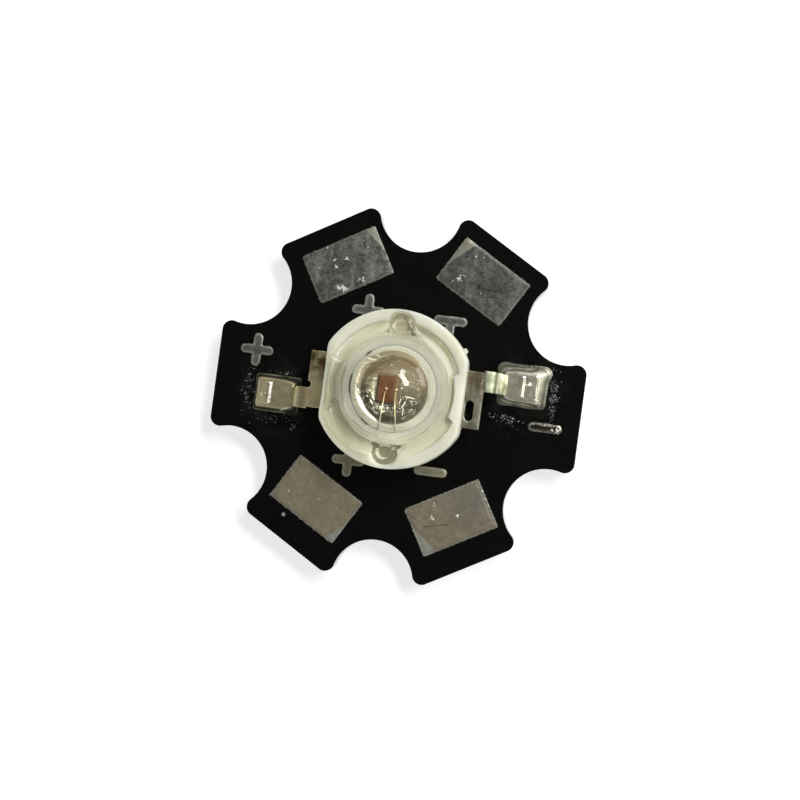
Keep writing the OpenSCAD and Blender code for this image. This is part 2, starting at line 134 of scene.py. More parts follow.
# %% [markdown]
# ## Pieces in the scene
# A piece is one mesh object at the origin. Modifiers could round and smooth it later, but its points are
# already where they belong, so it only needs smooth shading with sharp edges where the faces turn a
# corner. A closed mesh has a signed volume, and a negative one means that its faces look inwards, so the
# helper turns them round. The piece is parented to an empty for the body it rides on, and the solids it
# stands for are hidden.

# %% Pieces


def outward(points, faces):
    """Faces in the order that gives the mesh a volume above zero, so that they look outwards."""
    corner = np.array([[face[0], face[1], face[2], face[-1]] for face in faces])
    a, b, c, d = (points[corner[:, k]] for k in range(4))
    volume = (a * np.cross(b, c)).sum() + (a * np.cross(c, d)).sum()
    return faces if volume > 0 else [face[::-1] for face in faces]


def piece(name, shell, material, slot, *nodes, sharp_angle=40, values=None):
    """One mesh object at the origin that rides on the part and may stand for solids of the frame.

    values are numbers per point, kept on the mesh as the attribute "share" for its material to read.
    """
    points, faces = shell
    mesh = bpy.data.meshes.new(name)
    mesh.from_pydata(((points + AXIS) * MM).tolist(), [], outward(points, faces))
    if values is not None:
        share = mesh.attributes.new("share", "FLOAT", "POINT")
        share.data.foreach_set("value", np.asarray(values, np.float32))
    mesh.shade_smooth()
    mesh.set_sharp_from_angle(angle=math.radians(sharp_angle))
    mesh.materials.append(material)
    made = bpy.data.objects.new(name, mesh)
    bpy.context.scene.collection.objects.link(made)
    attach(made, "root")
    if nodes:
        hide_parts(*nodes)
    print(f"{name}: {len(points)} points, {len(faces)} faces")


print("solids that a piece may stand for:", len(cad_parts))

# %% [markdown]
# ## Curves that several pieces share
# An outline in the plane is a closed row of points, made of straight runs and arcs. Smooth steps and soft
# noise come from short formulas: a step is a cubic, and the noise is a sum of a few sine waves with fixed
# phases, so every run gives the same unevenness.

# %% Outlines, steps and waves


def arc(middle, radius, start, end, steps):
    """Points on a circle from one angle to another, in degrees."""
    angle = np.radians(np.linspace(start, end, steps))
    return np.stack([middle[0] + radius * np.cos(angle), middle[1] + radius * np.sin(angle)], 1)


def turned(points, degrees):
    """Points of the plane turned about its origin."""
    c, s = math.cos(math.radians(degrees)), math.sin(math.radians(degrees))
    return points @ np.array([[c, s], [-s, c]])


def even_steps(points, count):
    """A closed outline measured out again in equal steps along its length."""
    closed = np.concatenate([points, points[:1]])
    along = np.concatenate([[0], np.cumsum(np.hypot(*np.diff(closed, axis=0).T))])
    wanted = np.linspace(0, along[-1], count, endpoint=False)
    return np.stack([np.interp(wanted, along, closed[:, k]) for k in range(2)], 1)


def outward_normals(outline):
    """Unit normals of a closed outline that runs anticlockwise."""
    along = np.roll(outline, -1, 0) - np.roll(outline, 1, 0)
    return np.stack([along[:, 1], -along[:, 0]], 1) / np.hypot(*along.T)[:, None]


def rounded_box(size_x, size_y, radius, steps=8):
    """Rectangle with round corners: four quarter arcs that straight runs join."""
    x, y = size_x / 2 - radius, size_y / 2 - radius
    corners = [((x, y), 0), ((-x, y), 90), ((-x, -y), 180), ((x, -y), 270)]
    return np.concatenate([arc(middle, radius, start, start + 90, steps) for middle, start in corners])


def step(low, high, value):
    """Smooth step from 0 at low to 1 at high: a cubic with level ends."""
    t = np.clip((value - low) / (high - low), 0, 1)
    return t * t * (3 - 2 * t)


def waves(x, y, length, seed, count=7):
    """Soft unevenness about zero: twice the mean of sine waves of about one length in many directions."""
    draw = np.random.default_rng(seed)
    heading, phase = draw.uniform(0, 2 * np.pi, (2, count))
    rate = 2 * np.pi / length * draw.uniform(0.6, 1.7, count)
    travel = np.multiply.outer(x, np.cos(heading)) + np.multiply.outer(y, np.sin(heading))
    return np.sin(travel * rate + phase).mean(-1) * 2


def ride_up(outline, levels, middle=(0, 0)):
    """Rings over an outline: each level is a share of the way out from the middle, and a height."""
    rings = [np.column_stack([middle + (outline - middle) * share, np.broadcast_to(height, len(outline))])
             for share, height in levels]
    return np.stack(rings)


print("a rounded square has", len(rounded_box(2, 2, 0.5)), "points before it is measured out again")

# %% [markdown]
# ## Nodes in a few words
# A material is a graph of nodes. It could be wired by hand in the editor, but a script needs several
# lines for every node, so each helper here makes a node, links it and hands on its output. A mask is a
# value from 0 to 1.

# %% Node helpers


def node(tree, kind, **settings):
    """A new node with some of its settings."""
    made = tree.nodes.new(kind)
    for name, value in settings.items():
        setattr(made, name, value)
    return made


def feed(tree, socket, value):
    """Links an output to a socket, or sets the socket's own value."""
    if isinstance(value, bpy.types.NodeSocket):
        tree.links.new(value, socket)
    elif isinstance(value, tuple) and len(value) == 3 and socket.type == "RGBA":
        socket.default_value = (*value, 1)
    else:
        socket.default_value = value


def math_node(tree, operation, first, second=0.0):
    """One calculation with one or two values, such as a product or a comparison."""
    made = node(tree, "ShaderNodeMath", operation=operation)
    feed(tree, made.inputs[0], first)
    feed(tree, made.inputs[1], second)
    return made.outputs[0]


def times(tree, first, second):
    """Product of two values, such as the part of one mask that lies in another."""
    return math_node(tree, "MULTIPLY", first, second)


def plus(tree, first, second):
    """Sum of two values."""
    return math_node(tree, "ADD", first, second)


def greater(tree, first, second):
    """The greater of two values, such as two masks laid together."""
    return math_node(tree, "MAXIMUM", first, second)


def off_from(tree, value, middle):
    """How far a value is from a middle one, on either side."""
    return math_node(tree, "ABSOLUTE", math_node(tree, "SUBTRACT", value, middle))


def spread(tree, value, low, high, to_low=0.0, to_high=1.0):
    """Maps a value's range onto another, and holds it there."""
    made = node(tree, "ShaderNodeMapRange")
    for socket, number in zip(made.inputs, (value, low, high, to_low, to_high)):
        feed(tree, socket, number)
    return made.outputs[0]


def tint(tree, mask, first, second):
    """Colour that runs from the first to the second as the mask rises."""
    made = node(tree, "ShaderNodeMix", data_type="RGBA")
    feed(tree, made.inputs[0], mask)
    feed(tree, made.inputs[6], first)
    feed(tree, made.inputs[7], second)
    return made.outputs[2]


def relief(tree, height, distance, below=None):
    """Normal from a height mask, whose full range stands for a distance in metres."""
    made = node(tree, "ShaderNodeBump")
    feed(tree, made.inputs["Distance"], distance)
    feed(tree, made.inputs["Height"], height)
    if below is not None:
        feed(tree, made.inputs["Normal"], below)
    return made.outputs[0]


print("node helpers ready")

# %% [markdown]
# ## Places on the part
# A finish often has to know where it is: how far out, how high, on which side. A UV map could tell, but
# it would have to be unwrapped for each mesh. Object coordinates are there already and stay with the
# piece, so these helpers count them from the emitter's axis in millimetres, and turn them into spots and
# strokes.

# %% Places, spots and strokes


def place(tree, scale=(1, 1, 1), turn=0.0):
    """The piece's own coordinates counted from the emitter's axis, stretched and turned about Z."""
    mapping = node(tree, "ShaderNodeMapping")
    tree.links.new(node(tree, "ShaderNodeTexCoord").outputs["Object"], mapping.inputs["Vector"])
    mapping.inputs["Location"].default_value = (*-turned((AXIS * scale)[:2] * MM, turn), 0)
    mapping.inputs["Rotation"].default_value = (0, 0, math.radians(turn))
    mapping.inputs["Scale"].default_value = scale
    return mapping.outputs[0]


def along_axes(tree, turn=0.0):
    """X, Y and Z in millimetres from the emitter's axis, of coordinates that are first turned about Z."""
    parts = node(tree, "ShaderNodeSeparateXYZ")
    feed(tree, parts.inputs[0], place(tree, scale=(1 / MM, 1 / MM, 1 / MM), turn=turn))
    return parts.outputs[0], parts.outputs[1], parts.outputs[2]


def towards(tree, direction):
    """Distance in millimetres from the emitter's axis towards a direction, in degrees round from +X."""
    return along_axes(tree, turn=-direction)[0]


def from_axis(tree):
    """Distance from the emitter's axis in millimetres."""
    flat = node(tree, "ShaderNodeVectorMath", operation="LENGTH")
    feed(tree, flat.inputs[0], place(tree, scale=(1 / MM, 1 / MM, 0)))
    return flat.outputs["Value"]


def share_of(tree):
    """The mesh's own attribute: the number that the piece gives each of its points."""
    return node(tree, "ShaderNodeAttribute", attribute_name="share").outputs["Fac"]


def per_mm(features):
    """Texture scale for that many features on a millimetre, as coordinates are in metres."""
    return features / MM


def spot(tree, middle, radius, soft):
    """Mask of a round spot about a place on the board. soft is the share of its radius that fades out."""
    away = node(tree, "ShaderNodeVectorMath", operation="DISTANCE")
    feed(tree, away.inputs[0], place(tree, scale=(1 / MM, 1 / MM, 0)))
    feed(tree, away.inputs[1], (*middle, 0))
    return spread(tree, away.outputs["Value"], radius, radius * (1 - soft))


def stroke(tree, start, end, width):
    """Mask of a straight scratch between two places on the board: near its line, and between its ends."""
    start, end = np.array(start), np.array(end)
    heading = math.degrees(math.atan2(*(end - start)[::-1]))
    middle = turned((start + end) / 2, -heading)
    half = np.hypot(*(end - start)) / 2
    along, across, _ = along_axes(tree, turn=-heading)
    near = spread(tree, off_from(tree, across, middle[1]), width, 0.3 * width)
    within = off_from(tree, along, middle[0])
    return times(tree, near, spread(tree, within, half, 0.7 * half))


print("a texture with 2 features on a millimetre has the scale", per_mm(2))

# %% [markdown]
# ## Patterns that several finishes share
# Real surfaces are never one even colour. Three node groups give the usual faults: a soft mottle, small
# specks and fine scratches. Each could be wired anew in every material, but a group is wired once and
# then used like a single node. It reads the piece's own coordinates and only hands out a mask, so any
# material can use it with values of its own.

# %% The three shared groups


def new_group(name, inputs, output):
    """An empty node group with number inputs and one number output."""
    group = bpy.data.node_groups.new(name, "ShaderNodeTree")
    for socket, value in inputs.items():
        made = group.interface.new_socket(socket, in_out="INPUT", socket_type="NodeSocketFloat")
        made.default_value = value
    group.interface.new_socket(output, in_out="OUTPUT", socket_type="NodeSocketFloat")
    return group, group.nodes.new("NodeGroupInput"), group.nodes.new("NodeGroupOutput")


def mottle_group():
    """Soft patches: noise whose middle range is spread over 0 to 1."""
    usual = {"Scale": per_mm(1), "Detail": 4.0, "Low": 0.35, "High": 0.65}
    group, given, out = new_group("Mottle", usual, "Tone")
    noise = node(group, "ShaderNodeTexNoise")
    feed(group, noise.inputs["Vector"], place(group))
    feed(group, noise.inputs["Scale"], given.outputs["Scale"])
    feed(group, noise.inputs["Detail"], given.outputs["Detail"])
    feed(group, out.inputs[0], spread(group, noise.outputs[0], given.outputs["Low"], given.outputs["High"]))
    return group


def speck_group():
    """Small round spots: cells of a Voronoi pattern, of which only a share gets a spot in its middle."""
    usual = {"Scale": per_mm(3), "Size": 0.2, "Share": 0.3}
    group, given, out = new_group("Specks", usual, "Specks")
    cells = node(group, "ShaderNodeTexVoronoi")
    feed(group, cells.inputs["Vector"], place(group))
    feed(group, cells.inputs["Scale"], given.outputs["Scale"])
    disc = spread(group, cells.outputs["Distance"], given.outputs["Size"], 0.0)
    chance = node(group, "ShaderNodeSeparateColor")
    feed(group, chance.inputs[0], cells.outputs["Color"])
    chosen = math_node(group, "LESS_THAN", chance.outputs[0], given.outputs["Share"])
    feed(group, out.inputs[0], times(group, disc, chosen))
    return group


def scratch_group():
    """Fine lines: the narrow band where stretched noise crosses its middle, broken up by a wider noise."""
    usual = {"Scale": per_mm(2), "Width": 0.02, "Breaks": 0.5}
    group, given, out = new_group("Scratches", usual, "Scratches")
    lines = node(group, "ShaderNodeTexNoise")
    feed(group, lines.inputs["Vector"], place(group, scale=(0.12, 1, 1), turn=24))
    feed(group, lines.inputs["Scale"], given.outputs["Scale"])
    band = spread(group, off_from(group, lines.outputs[0], 0.5), given.outputs["Width"], 0.0)
    gaps = node(group, "ShaderNodeTexNoise")
    feed(group, gaps.inputs["Vector"], place(group))
    feed(group, gaps.inputs["Scale"], per_mm(0.7))
    kept = math_node(group, "GREATER_THAN", gaps.outputs[0], given.outputs["Breaks"])
    feed(group, out.inputs[0], times(group, band, kept))
    return group


MOTTLE, SPECKS, SCRATCHES = mottle_group(), speck_group(), scratch_group()


def pattern(tree, group, **values):
    """A shared pattern placed in a material with its own values."""
    made = node(tree, "ShaderNodeGroup", node_tree=group)
    for name, value in values.items():
        made.inputs[name].default_value = value
    return made.outputs[0]


def finish(name, **plain):
    """A material with its Principled shader, and the sockets that are the same all over."""
    material = bpy.data.materials.new(name)
    material.use_nodes = True
    shader = material.node_tree.nodes["Principled BSDF"]
    for socket, value in plain.items():
        feed(material.node_tree, shader.inputs[socket.replace("_", " ")], value)
    return material, material.node_tree, shader.inputs


print("groups:", [group.name for group in (MOTTLE, SPECKS, SCRATCHES)])

# %% [markdown]
# ## The punched aluminium plate
# The star is punched out of sheet. Its lower edge is drawn in a little, as sheet is where the punch pulls
# it, and its wall shows upright shear marks. An extruded outline with a Bevel modifier would round both
# edges alike, so the edge is a profile of its own, carried round the outline. Half a tab is a flat, a
# corner arc and half a notch; mirrored and turned six times it is the whole star.

# %% Star outline and plate
NOTCH_RADIUS = 2.13
NOTCH_CIRCLE_RADIUS = 9.6
TAB_CORNER = 0.5
plate_low, plate_high = extent("aluminium_core")
tab_reach = (plate_high - plate_low)[0] / 2
plate_middle = (plate_low + plate_high)[:2] / 2


def star_outline():
    """Flat, corner arc and half a notch, with the corner arc touching the flat and the notch."""
    notch = NOTCH_CIRCLE_RADIUS * np.array([math.cos(math.radians(30)), math.sin(math.radians(30))])
    corner_x = tab_reach - TAB_CORNER
    corner_y = notch[1] - math.sqrt((NOTCH_RADIUS + TAB_CORNER) ** 2 - (corner_x - notch[0]) ** 2)
    heading = math.degrees(math.atan2(notch[1] - corner_y, notch[0] - corner_x))
    flat = np.array([[tab_reach, y] for y in np.linspace(0, corner_y, 6)[:-1]])
    half = np.concatenate([flat, arc((corner_x, corner_y), TAB_CORNER, 0, heading, 12),
                           arc(notch, NOTCH_RADIUS, heading + 180, 210, 22)[1:]])
    tab = np.concatenate([half[:0:-1] * (1, -1), half[:-1]])
    return np.concatenate([turned(tab, 60 * i) for i in range(6)])


star = star_outline() + plate_middle
star_normals = outward_normals(star)
edge_profile = [(0.5, 0), (0.16, 0), (0.09, 0.012), (0.04, 0.04), (0.012, 0.09), (0, 0.17),
                (0, plate_high[2] - 0.05), (0.012, plate_high[2] - 0.015), (0.035, plate_high[2])]
plate_rings = np.stack([np.column_stack([star - inset * star_normals, np.full(len(star), z)])
                        for inset, z in edge_profile])


def aluminium():
    """Satin sheet metal with upright shear marks on its punched wall and a fine rolled grain."""
    material, tree, sockets = finish("aluminium", Metallic=1.0)
    shear = node(tree, "ShaderNodeTexNoise")
    feed(tree, shear.inputs["Vector"], place(tree, scale=(1, 1, 0.04)))
    feed(tree, shear.inputs["Scale"], per_mm(9))
    grain = pattern(tree, MOTTLE, Scale=per_mm(2.5), Detail=6.0)
    marks = pattern(tree, SCRATCHES, Scale=per_mm(4), Width=0.015, Breaks=0.45)
    feed(tree, sockets["Base Color"], tint(tree, grain, (0.56, 0.57, 0.58), (0.74, 0.745, 0.75)))
    feed(tree, sockets["Roughness"], spread(tree, grain, 0, 1, 0.34, 0.52))
    rough = relief(tree, shear.outputs[0], 0.02 * MM)
    feed(tree, sockets["Normal"], relief(tree, marks, 0.004 * MM, rough))
    return material


ALUMINIUM = aluminium()
piece("board_plate", skin(plate_rings), ALUMINIUM, "aluminium", "aluminium_core")

# %% [markdown]
# ## Flat layers under and around the pads
# The insulating film, the etched copper and the black mask are flat sheets. New meshes would gain
# nothing, as the solids are right as they are, so they only get finishes. The mask is the skin that
# shows: a very dark satin coat with a faint orange peel, a few dust specks, and a glossier, finely
# blistered zone of flux residue around the two lead pads.

# %% Mask, film, copper and paste
board_top = extent("solder_mask")[1][2]
joint_low, joint_high = extent("cathode_solder")
joint_middle = (joint_low + joint_high) / 2
FLUX_REACH = 2.6
CHIPPED_PLACE, CHIPPED_RADIUS = (-5.11, -7.13), 0.12


def solder_mask():
    """Near-black satin coat, with a patchy glossy film within reach of the soldered lead pads."""
    material, tree, sockets = finish("solder_mask", IOR=1.45, Specular_IOR_Level=0.09, Coat_Roughness=0.12)
    peel = pattern(tree, MOTTLE, Scale=per_mm(5), Detail=3.0, Low=0.3, High=0.7)
    haze = pattern(tree, MOTTLE, Scale=per_mm(0.9), Detail=4.0)
    dust = pattern(tree, SPECKS, Scale=per_mm(0.9), Size=0.03, Share=0.3)
    blisters = pattern(tree, SPECKS, Scale=per_mm(6), Size=0.42, Share=0.5)
    near = None
    for side in (-1, 1):
        away = node(tree, "ShaderNodeVectorMath", operation="DISTANCE")
        feed(tree, away.inputs[0], place(tree))
        feed(tree, away.inputs[1], tuple(joint_middle * (side, side, 1) * MM))
        zone = spread(tree, away.outputs["Value"], FLUX_REACH * MM, 0.5 * FLUX_REACH * MM)
        near = zone if near is None else greater(tree, near, zone)
    patchy = times(tree, near, spread(tree, haze, 0.35, 0.8))
    coat = tint(tree, haze, (0.0011, 0.0015, 0.0012), (0.002, 0.0025, 0.0021))
    chipped = spot(tree, CHIPPED_PLACE, CHIPPED_RADIUS, 0.9)
    coat = tint(tree, times(tree, chipped, spread(tree, peel, 0.2, 0.6, 0.3, 1.0)), coat, (0.5, 0.5, 0.5))
    feed(tree, sockets["Base Color"], tint(tree, dust, coat, (0.07, 0.07, 0.065)))
    feed(tree, sockets["Roughness"], spread(tree, peel, 0, 1, 0.34, 0.46))
    feed(tree, sockets["Coat Weight"], times(tree, patchy, 0.5))
    fine = relief(tree, peel, 0.004 * MM)
    feed(tree, sockets["Normal"], relief(tree, times(tree, blisters, patchy), 0.02 * MM, fine))
    return material


def plain_layer(name, dark, light, roughness, metallic=0.0, scale=2.0):
    """A layer that hardly shows: two close tones in soft patches, and a little relief."""
    material, tree, sockets = finish(name, Metallic=metallic)
    tone = pattern(tree, MOTTLE, Scale=per_mm(scale))
    feed(tree, sockets["Base Color"], tint(tree, tone, dark, light))
    feed(tree, sockets["Roughness"], spread(tree, tone, 0, 1, roughness, roughness + 0.15))
    feed(tree, sockets["Normal"], relief(tree, tone, 0.01 * MM))
    return material


COPPER = plain_layer("copper", (0.45, 0.2, 0.1), (0.62, 0.32, 0.18), 0.35, metallic=1.0)
layers = {
    "solder_mask": solder_mask(),
    "dielectric_layer": plain_layer("dielectric", (0.2, 0.2, 0.17), (0.3, 0.3, 0.26), 0.55, scale=6),
    "anode_copper": COPPER,
    "cathode_copper": COPPER,
    "thermal_copper": COPPER,
    "thermal_paste": plain_layer("thermal_paste", (0.6, 0.6, 0.57), (0.78, 0.78, 0.75), 0.6, scale=3),
    "die_attach": plain_layer("die_attach", (0.16, 0.125, 0.08), (0.26, 0.21, 0.14), 0.5, scale=12),
}
for name, material in layers.items():
    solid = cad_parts[name]
    solid.data.materials.clear()
    solid.data.materials.append(material)
print("finished solids:", sorted(layers))

# %% [markdown]
# ## Tin
# Hot tin leaves an uneven skin. A paler band runs along its edge, the coat stops short of one corner, and
# use has left scratches and bright flecks. One painted picture could not serve all the pads, so the
# finish is worked out: noise gives the patches, the distance from the edge gives the band, and the larger
# marks have places of their own.

# %% Tin finishes
tin_low, tin_high = extent("wire_pad_upper_left")
tin_bottom, tin_top = tin_low[2], tin_high[2]
PAD_LENGTH, PAD_INNER, PAD_OUTER = 4.12, 5.7234, 8.37
PAD_MIDDLE = (PAD_INNER + PAD_OUTER) / 2


def tin(name, dark, light, band, roughness, grit=0.2, streaks=0.0, beads=0.05,
        bare=None, flecks=(), scratches=(), score=1.0, haze=None):
    """Dull tin: patchy metal with a paler band and a fine line of painted shade in a groove near its edge,
    scratches and bright flecks.

    grit is how much the fine grain shows, streaks how strongly the coat has run, and beads the share of
    spots with a bright bead. bare gives the pad's angle, its end that stays free of the coat, where that
    begins and its colour. flecks are places with a radius. scratches are pairs of places with a width, and
    show as much as score says. haze is a place, a radius and a colour.
    """
    material, tree, sockets = finish(name, Metallic=1.0)
    patches = pattern(tree, MOTTLE, Scale=per_mm(0.9), Detail=6.0, Low=0.36, High=0.64)
    blotch = pattern(tree, MOTTLE, Scale=per_mm(3), Detail=5.0, Low=0.33, High=0.67)
    grain = pattern(tree, MOTTLE, Scale=per_mm(9), Detail=4.0, Low=0.25, High=0.75)
    drops = pattern(tree, SPECKS, Scale=per_mm(3.4), Size=0.06 + 0.5 * beads, Share=beads)
    tone = plus(tree, times(tree, patches, blotch), spread(tree, grain, 0, 1, -grit, 1.2 * grit))
    if streaks:
        run = node(tree, "ShaderNodeTexNoise")
        feed(tree, run.inputs["Vector"], place(tree, scale=(1, 0.1, 1), turn=-8))
        feed(tree, run.inputs["Scale"], per_mm(2.2))
        runs = times(tree, spread(tree, run.outputs[0], 0.5, 0.66), spread(tree, grain, 0, 1, 0.3, streaks))
        tone = plus(tree, tone, runs)
    metal = tint(tree, tone, dark, light)
    if haze:
        haze_middle, haze_radius, haze_colour = haze
        cover = spot(tree, haze_middle, haze_radius, 0.8)
        metal = tint(tree, times(tree, cover, spread(tree, blotch, 0, 1, 0.6, 1.0)), metal, haze_colour)
    inwards = share_of(tree)
    edge = times(tree, spread(tree, inwards, 0.17, 0.06), spread(tree, blotch, 0, 1, 0.4, 1.0))
    metal = tint(tree, edge, metal, band)
    if bare:
        angle, end, begin, colour = bare
        radial, across, _ = along_axes(tree, turn=-angle)
        radial = times(tree, math_node(tree, "SUBTRACT", radial, PAD_MIDDLE), 0.36)
        line = plus(tree, times(tree, across, end), radial)
        metal = tint(tree, spread(tree, line, begin, begin + 0.08), metal, colour)
    # Painted shade: a fine dark line in a shallow groove near the edge, darkened together with the
    # scratches.
    fold = spread(tree, off_from(tree, inwards, 0.15), 0.03, 0.0)
    shade = times(tree, fold, spread(tree, patches, 0.2, 0.7, 0.0, 0.5))
    for start, end, width in scratches:
        cut = times(tree, stroke(tree, start, end, width), score)
        shade = greater(tree, shade, cut)
    metal = tint(tree, shade, metal, tuple(0.4 * c for c in dark))
    islands = plus(tree, spread(tree, grain, 0, 1, -0.5, 0.5), spread(tree, blotch, 0, 1, -0.35, 0.35))
    for middle, radius in flecks:
        raised = plus(tree, spot(tree, middle, radius, 1.0), islands)
        fleck = times(tree, spread(tree, raised, 0.6, 0.85), spot(tree, middle, radius, 0.2))
        drops = greater(tree, drops, fleck)
    feed(tree, sockets["Base Color"], tint(tree, drops, metal, (0.9, 0.9, 0.88)))
    dull = spread(tree, grain, 0, 1, roughness - 0.06, roughness + 0.12)
    feed(tree, sockets["Roughness"], plus(tree, dull, times(tree, drops, 0.1)))
    fine = relief(tree, grain, 0.005 * MM)
    lifted = relief(tree, drops, 0.02 * MM, fine)
    feed(tree, sockets["Normal"], relief(tree, shade, -0.008 * MM, lifted))
    return material


print("tin from", np.round(tin_bottom, 3), "to", np.round(tin_top, 3), "mm above the underside")

# %% [markdown]
# ## Tinned fields
# Each pad is a field where a wire is soldered on. A bevelled box would have a straight edge and a flat
# top, so a pad is rings from its outline to its middle instead: the outer ones fray where the mask ends,
# and soft waves lift the inner ones a few thousandths of a millimetre. Every point keeps its distance
# from the outline for the finish.

# %% Rings of a tinned field
TIN_SHARES = np.concatenate([[1.0], 1 - np.geomspace(0.01, 0.12, 12), np.linspace(0.85, 0.03, 30)])


def tin_rings(outline, middle, seed, crown, ragged):
    """Rings of a tinned field: a skirt in the mask's opening, a ragged edge, then an uneven crowned skin.

    crown is how much higher the middle is than the edge, and ragged how far the edge frays, in millimetres.
    """
    fray = 0.7 * np.tanh(1.6 * (waves(*outline.T, 0.2, seed) + waves(*outline.T, 0.11, seed + 1)))
    normals = outward_normals(outline)
    rings = [np.column_stack([outline, np.full(len(outline), z)]) for z in (tin_bottom, board_top - 0.012)]
    for share in TIN_SHARES:
        frayed = outline + normals * (ragged * fray * step(0.93, 1.0, share) - 0.3 * ragged)[:, None]
        flat = middle + (frayed - middle) * share
        rise = step(1.0, 0.88, share) * 0.011 + crown * (1 - share ** 2)
        uneven = 0.003 * waves(*flat.T, 0.9, seed + 2) + 0.0005 * waves(*flat.T, 0.3, seed + 3)
        rings.append(np.column_stack([flat, tin_top - 0.016 + rise + uneven * step(1.0, 0.94, share)]))
    return np.stack(rings)


def edge_distance(rings, outline):
    """Distance in millimetres from the outline of every point of such a field, and of its two poles."""
    points = np.concatenate([rings.reshape(-1, 3), rings[:1].mean(1), rings[-1:].mean(1)])[:, :2]
    sparse = outline[::4].astype(np.float32)
    return np.hypot(*(points.astype(np.float32)[:, None] - sparse).transpose(2, 0, 1)).min(1)


print("rings of a tinned field:", len(TIN_SHARES) + 2)

# %% [markdown]
# ## Looks of the four pads
# The upper two pads are grey and streaked, and the lower two are stained tan. Four materials could be
# built one by one, but they differ only in tones and marks, so one function takes these as values. A
# mark's place is given on its pad, outwards and round the board, and is turned with it.

# %% Wire pads


def on_pad(angle, x, y):
    """Place on the board of a point on a wire pad: x outwards from the pad's middle, y round the board."""
    return turned(np.array([PAD_MIDDLE + x, y]), angle)


def pad_tin(corner, angle, bare, flecks, scratches=(), haze=None, **look):
    """Tin of one wire pad: the places of its marks on the pad are turned to places on the board."""
    if haze:
        haze = (on_pad(angle, *haze[0]), *haze[1:])
    flecks = [(on_pad(angle, *middle), radius) for middle, radius in flecks]
    scratches = [(on_pad(angle, *start), on_pad(angle, *end), width) for start, end, width in scratches]
    return tin(f"tin_{corner}", bare=(angle, *bare), flecks=flecks, scratches=scratches, haze=haze, **look)


TIN_CORNER = 0.06
PAD_STEPS = 640
PAD_CROWN, PAD_RAGGED = 0.002, 0.065
pads = {
    "upper_left": dict(
        angle=120, dark=(0.11, 0.113, 0.107), light=(0.31, 0.315, 0.3), band=(0.25, 0.25, 0.22),
        roughness=0.42, grit=0.32, streaks=0.75, beads=0.2, bare=(-1, 1.98, (0.4, 0.4, 0.34)),
        flecks=[((-1.02, 0.72), 0.5), ((-0.37, 1.62), 0.13), ((-1.02, -0.4), 0.3), ((0.2, 0.62), 0.2),
                ((0.3, -0.05), 0.2), ((0.5, 0.55), 0.14)]),
    "upper_right": dict(
        angle=60, dark=(0.093, 0.097, 0.093), light=(0.229, 0.234, 0.222), band=(0.26, 0.26, 0.225),
        roughness=0.42, grit=0.28, streaks=0.4, beads=0.12, bare=(1, 1.84, (0.36, 0.355, 0.3)),
        flecks=[((-0.59, 1.0), 0.3), ((0.81, 1.07), 0.15), ((1.05, 0.7), 0.15), ((-1.0, 1.3), 0.2),
                ((-0.62, -0.25), 0.16)],
        scratches=[((-0.284, 0.132), (-0.439, -0.086), 0.1), ((-0.439, -0.03), (0.097, -1.016), 0.045),
                   ((-0.689, -0.417), (-0.27, -1.02), 0.025)]),
    "lower_left": dict(
        angle=240, dark=(0.335, 0.29, 0.208), light=(0.41, 0.358, 0.262), band=(0.29, 0.285, 0.255),
        roughness=0.46, grit=0.12, bare=(1, 2.0, (0.38, 0.39, 0.35)),
        flecks=[((-0.43, 0.42), 0.08), ((0.54, -1.38), 0.09), ((-0.1, 0.1), 0.07)]),
    "lower_right": dict(
        angle=300, dark=(0.31, 0.266, 0.193), light=(0.4, 0.348, 0.26), band=(0.3, 0.295, 0.268),
        roughness=0.46, grit=0.16, score=0.5, bare=(-1, 1.84, (0.42, 0.43, 0.39)),
        haze=((-0.5, 1.3), 2.0, (0.25, 0.237, 0.203)),
        flecks=[((-0.96, -0.54), 0.28), ((-0.38, -0.85), 0.26), ((0.02, 0.32), 0.15), ((-0.2, 1.99), 0.12),
                ((-0.7, 2.0), 0.1), ((0.1, 2.0), 0.1)],
        scratches=[((-0.156, -1.67), (0.29, -0.18), 0.06), ((-0.93, -1.9), (-0.37, -1.61), 0.06)]),
}
pad_field = even_steps(rounded_box(PAD_OUTER - PAD_INNER, PAD_LENGTH, TIN_CORNER), PAD_STEPS)
for number, (corner, look) in enumerate(pads.items()):
    middle = on_pad(look["angle"], 0, 0)
    outline = turned(pad_field + np.array([PAD_MIDDLE, 0]), look["angle"])
    rings = tin_rings(outline, middle, 10 * number, PAD_CROWN, PAD_RAGGED)
    piece(f"tinned_pad_{corner}", skin(rings), pad_tin(corner, **look), "tin", f"wire_pad_{corner}",
          sharp_angle=60, values=edge_distance(rings, outline))

# %% [markdown]
# ## Plus and minus marks
# The marks are openings in the mask that were tinned along with the pads, so they get the same rings and
# the same kind of finish. A text object could give the signs, but a few arcs give their real strokes with
# round ends. One minus sign has caught a blob of solder, so its middle stands higher.

# %% Plus and minus marks
STROKE_LENGTH = 1.72
STROKE_WIDTH = 0.47
STEM_LENGTH = 0.62
MARK_STEPS = 240
MARK_CROWN, BLOB_CROWN, MARK_RAGGED = 0.004, 0.05, 0.03


def bar_end():
    """Half circle at the end of a stroke that points along X."""
    return arc(((STROKE_LENGTH - STROKE_WIDTH) / 2, 0), STROKE_WIDTH / 2, -90, 90, 12)


def minus_outline():
    """A stroke: two half circles that straight runs join."""
    return np.concatenate([bar_end(), -bar_end()])


def plus_outline():
    """Four stroke ends, a quarter turn apart, with a small fillet in each inner corner."""
    fillet = 0.07
    inner = STROKE_WIDTH / 2 + fillet
    arm = np.concatenate([bar_end(), arc((inner, inner), fillet, 270, 180, 5)])
    return np.concatenate([turned(arm, 90 * i) for i in range(4)])


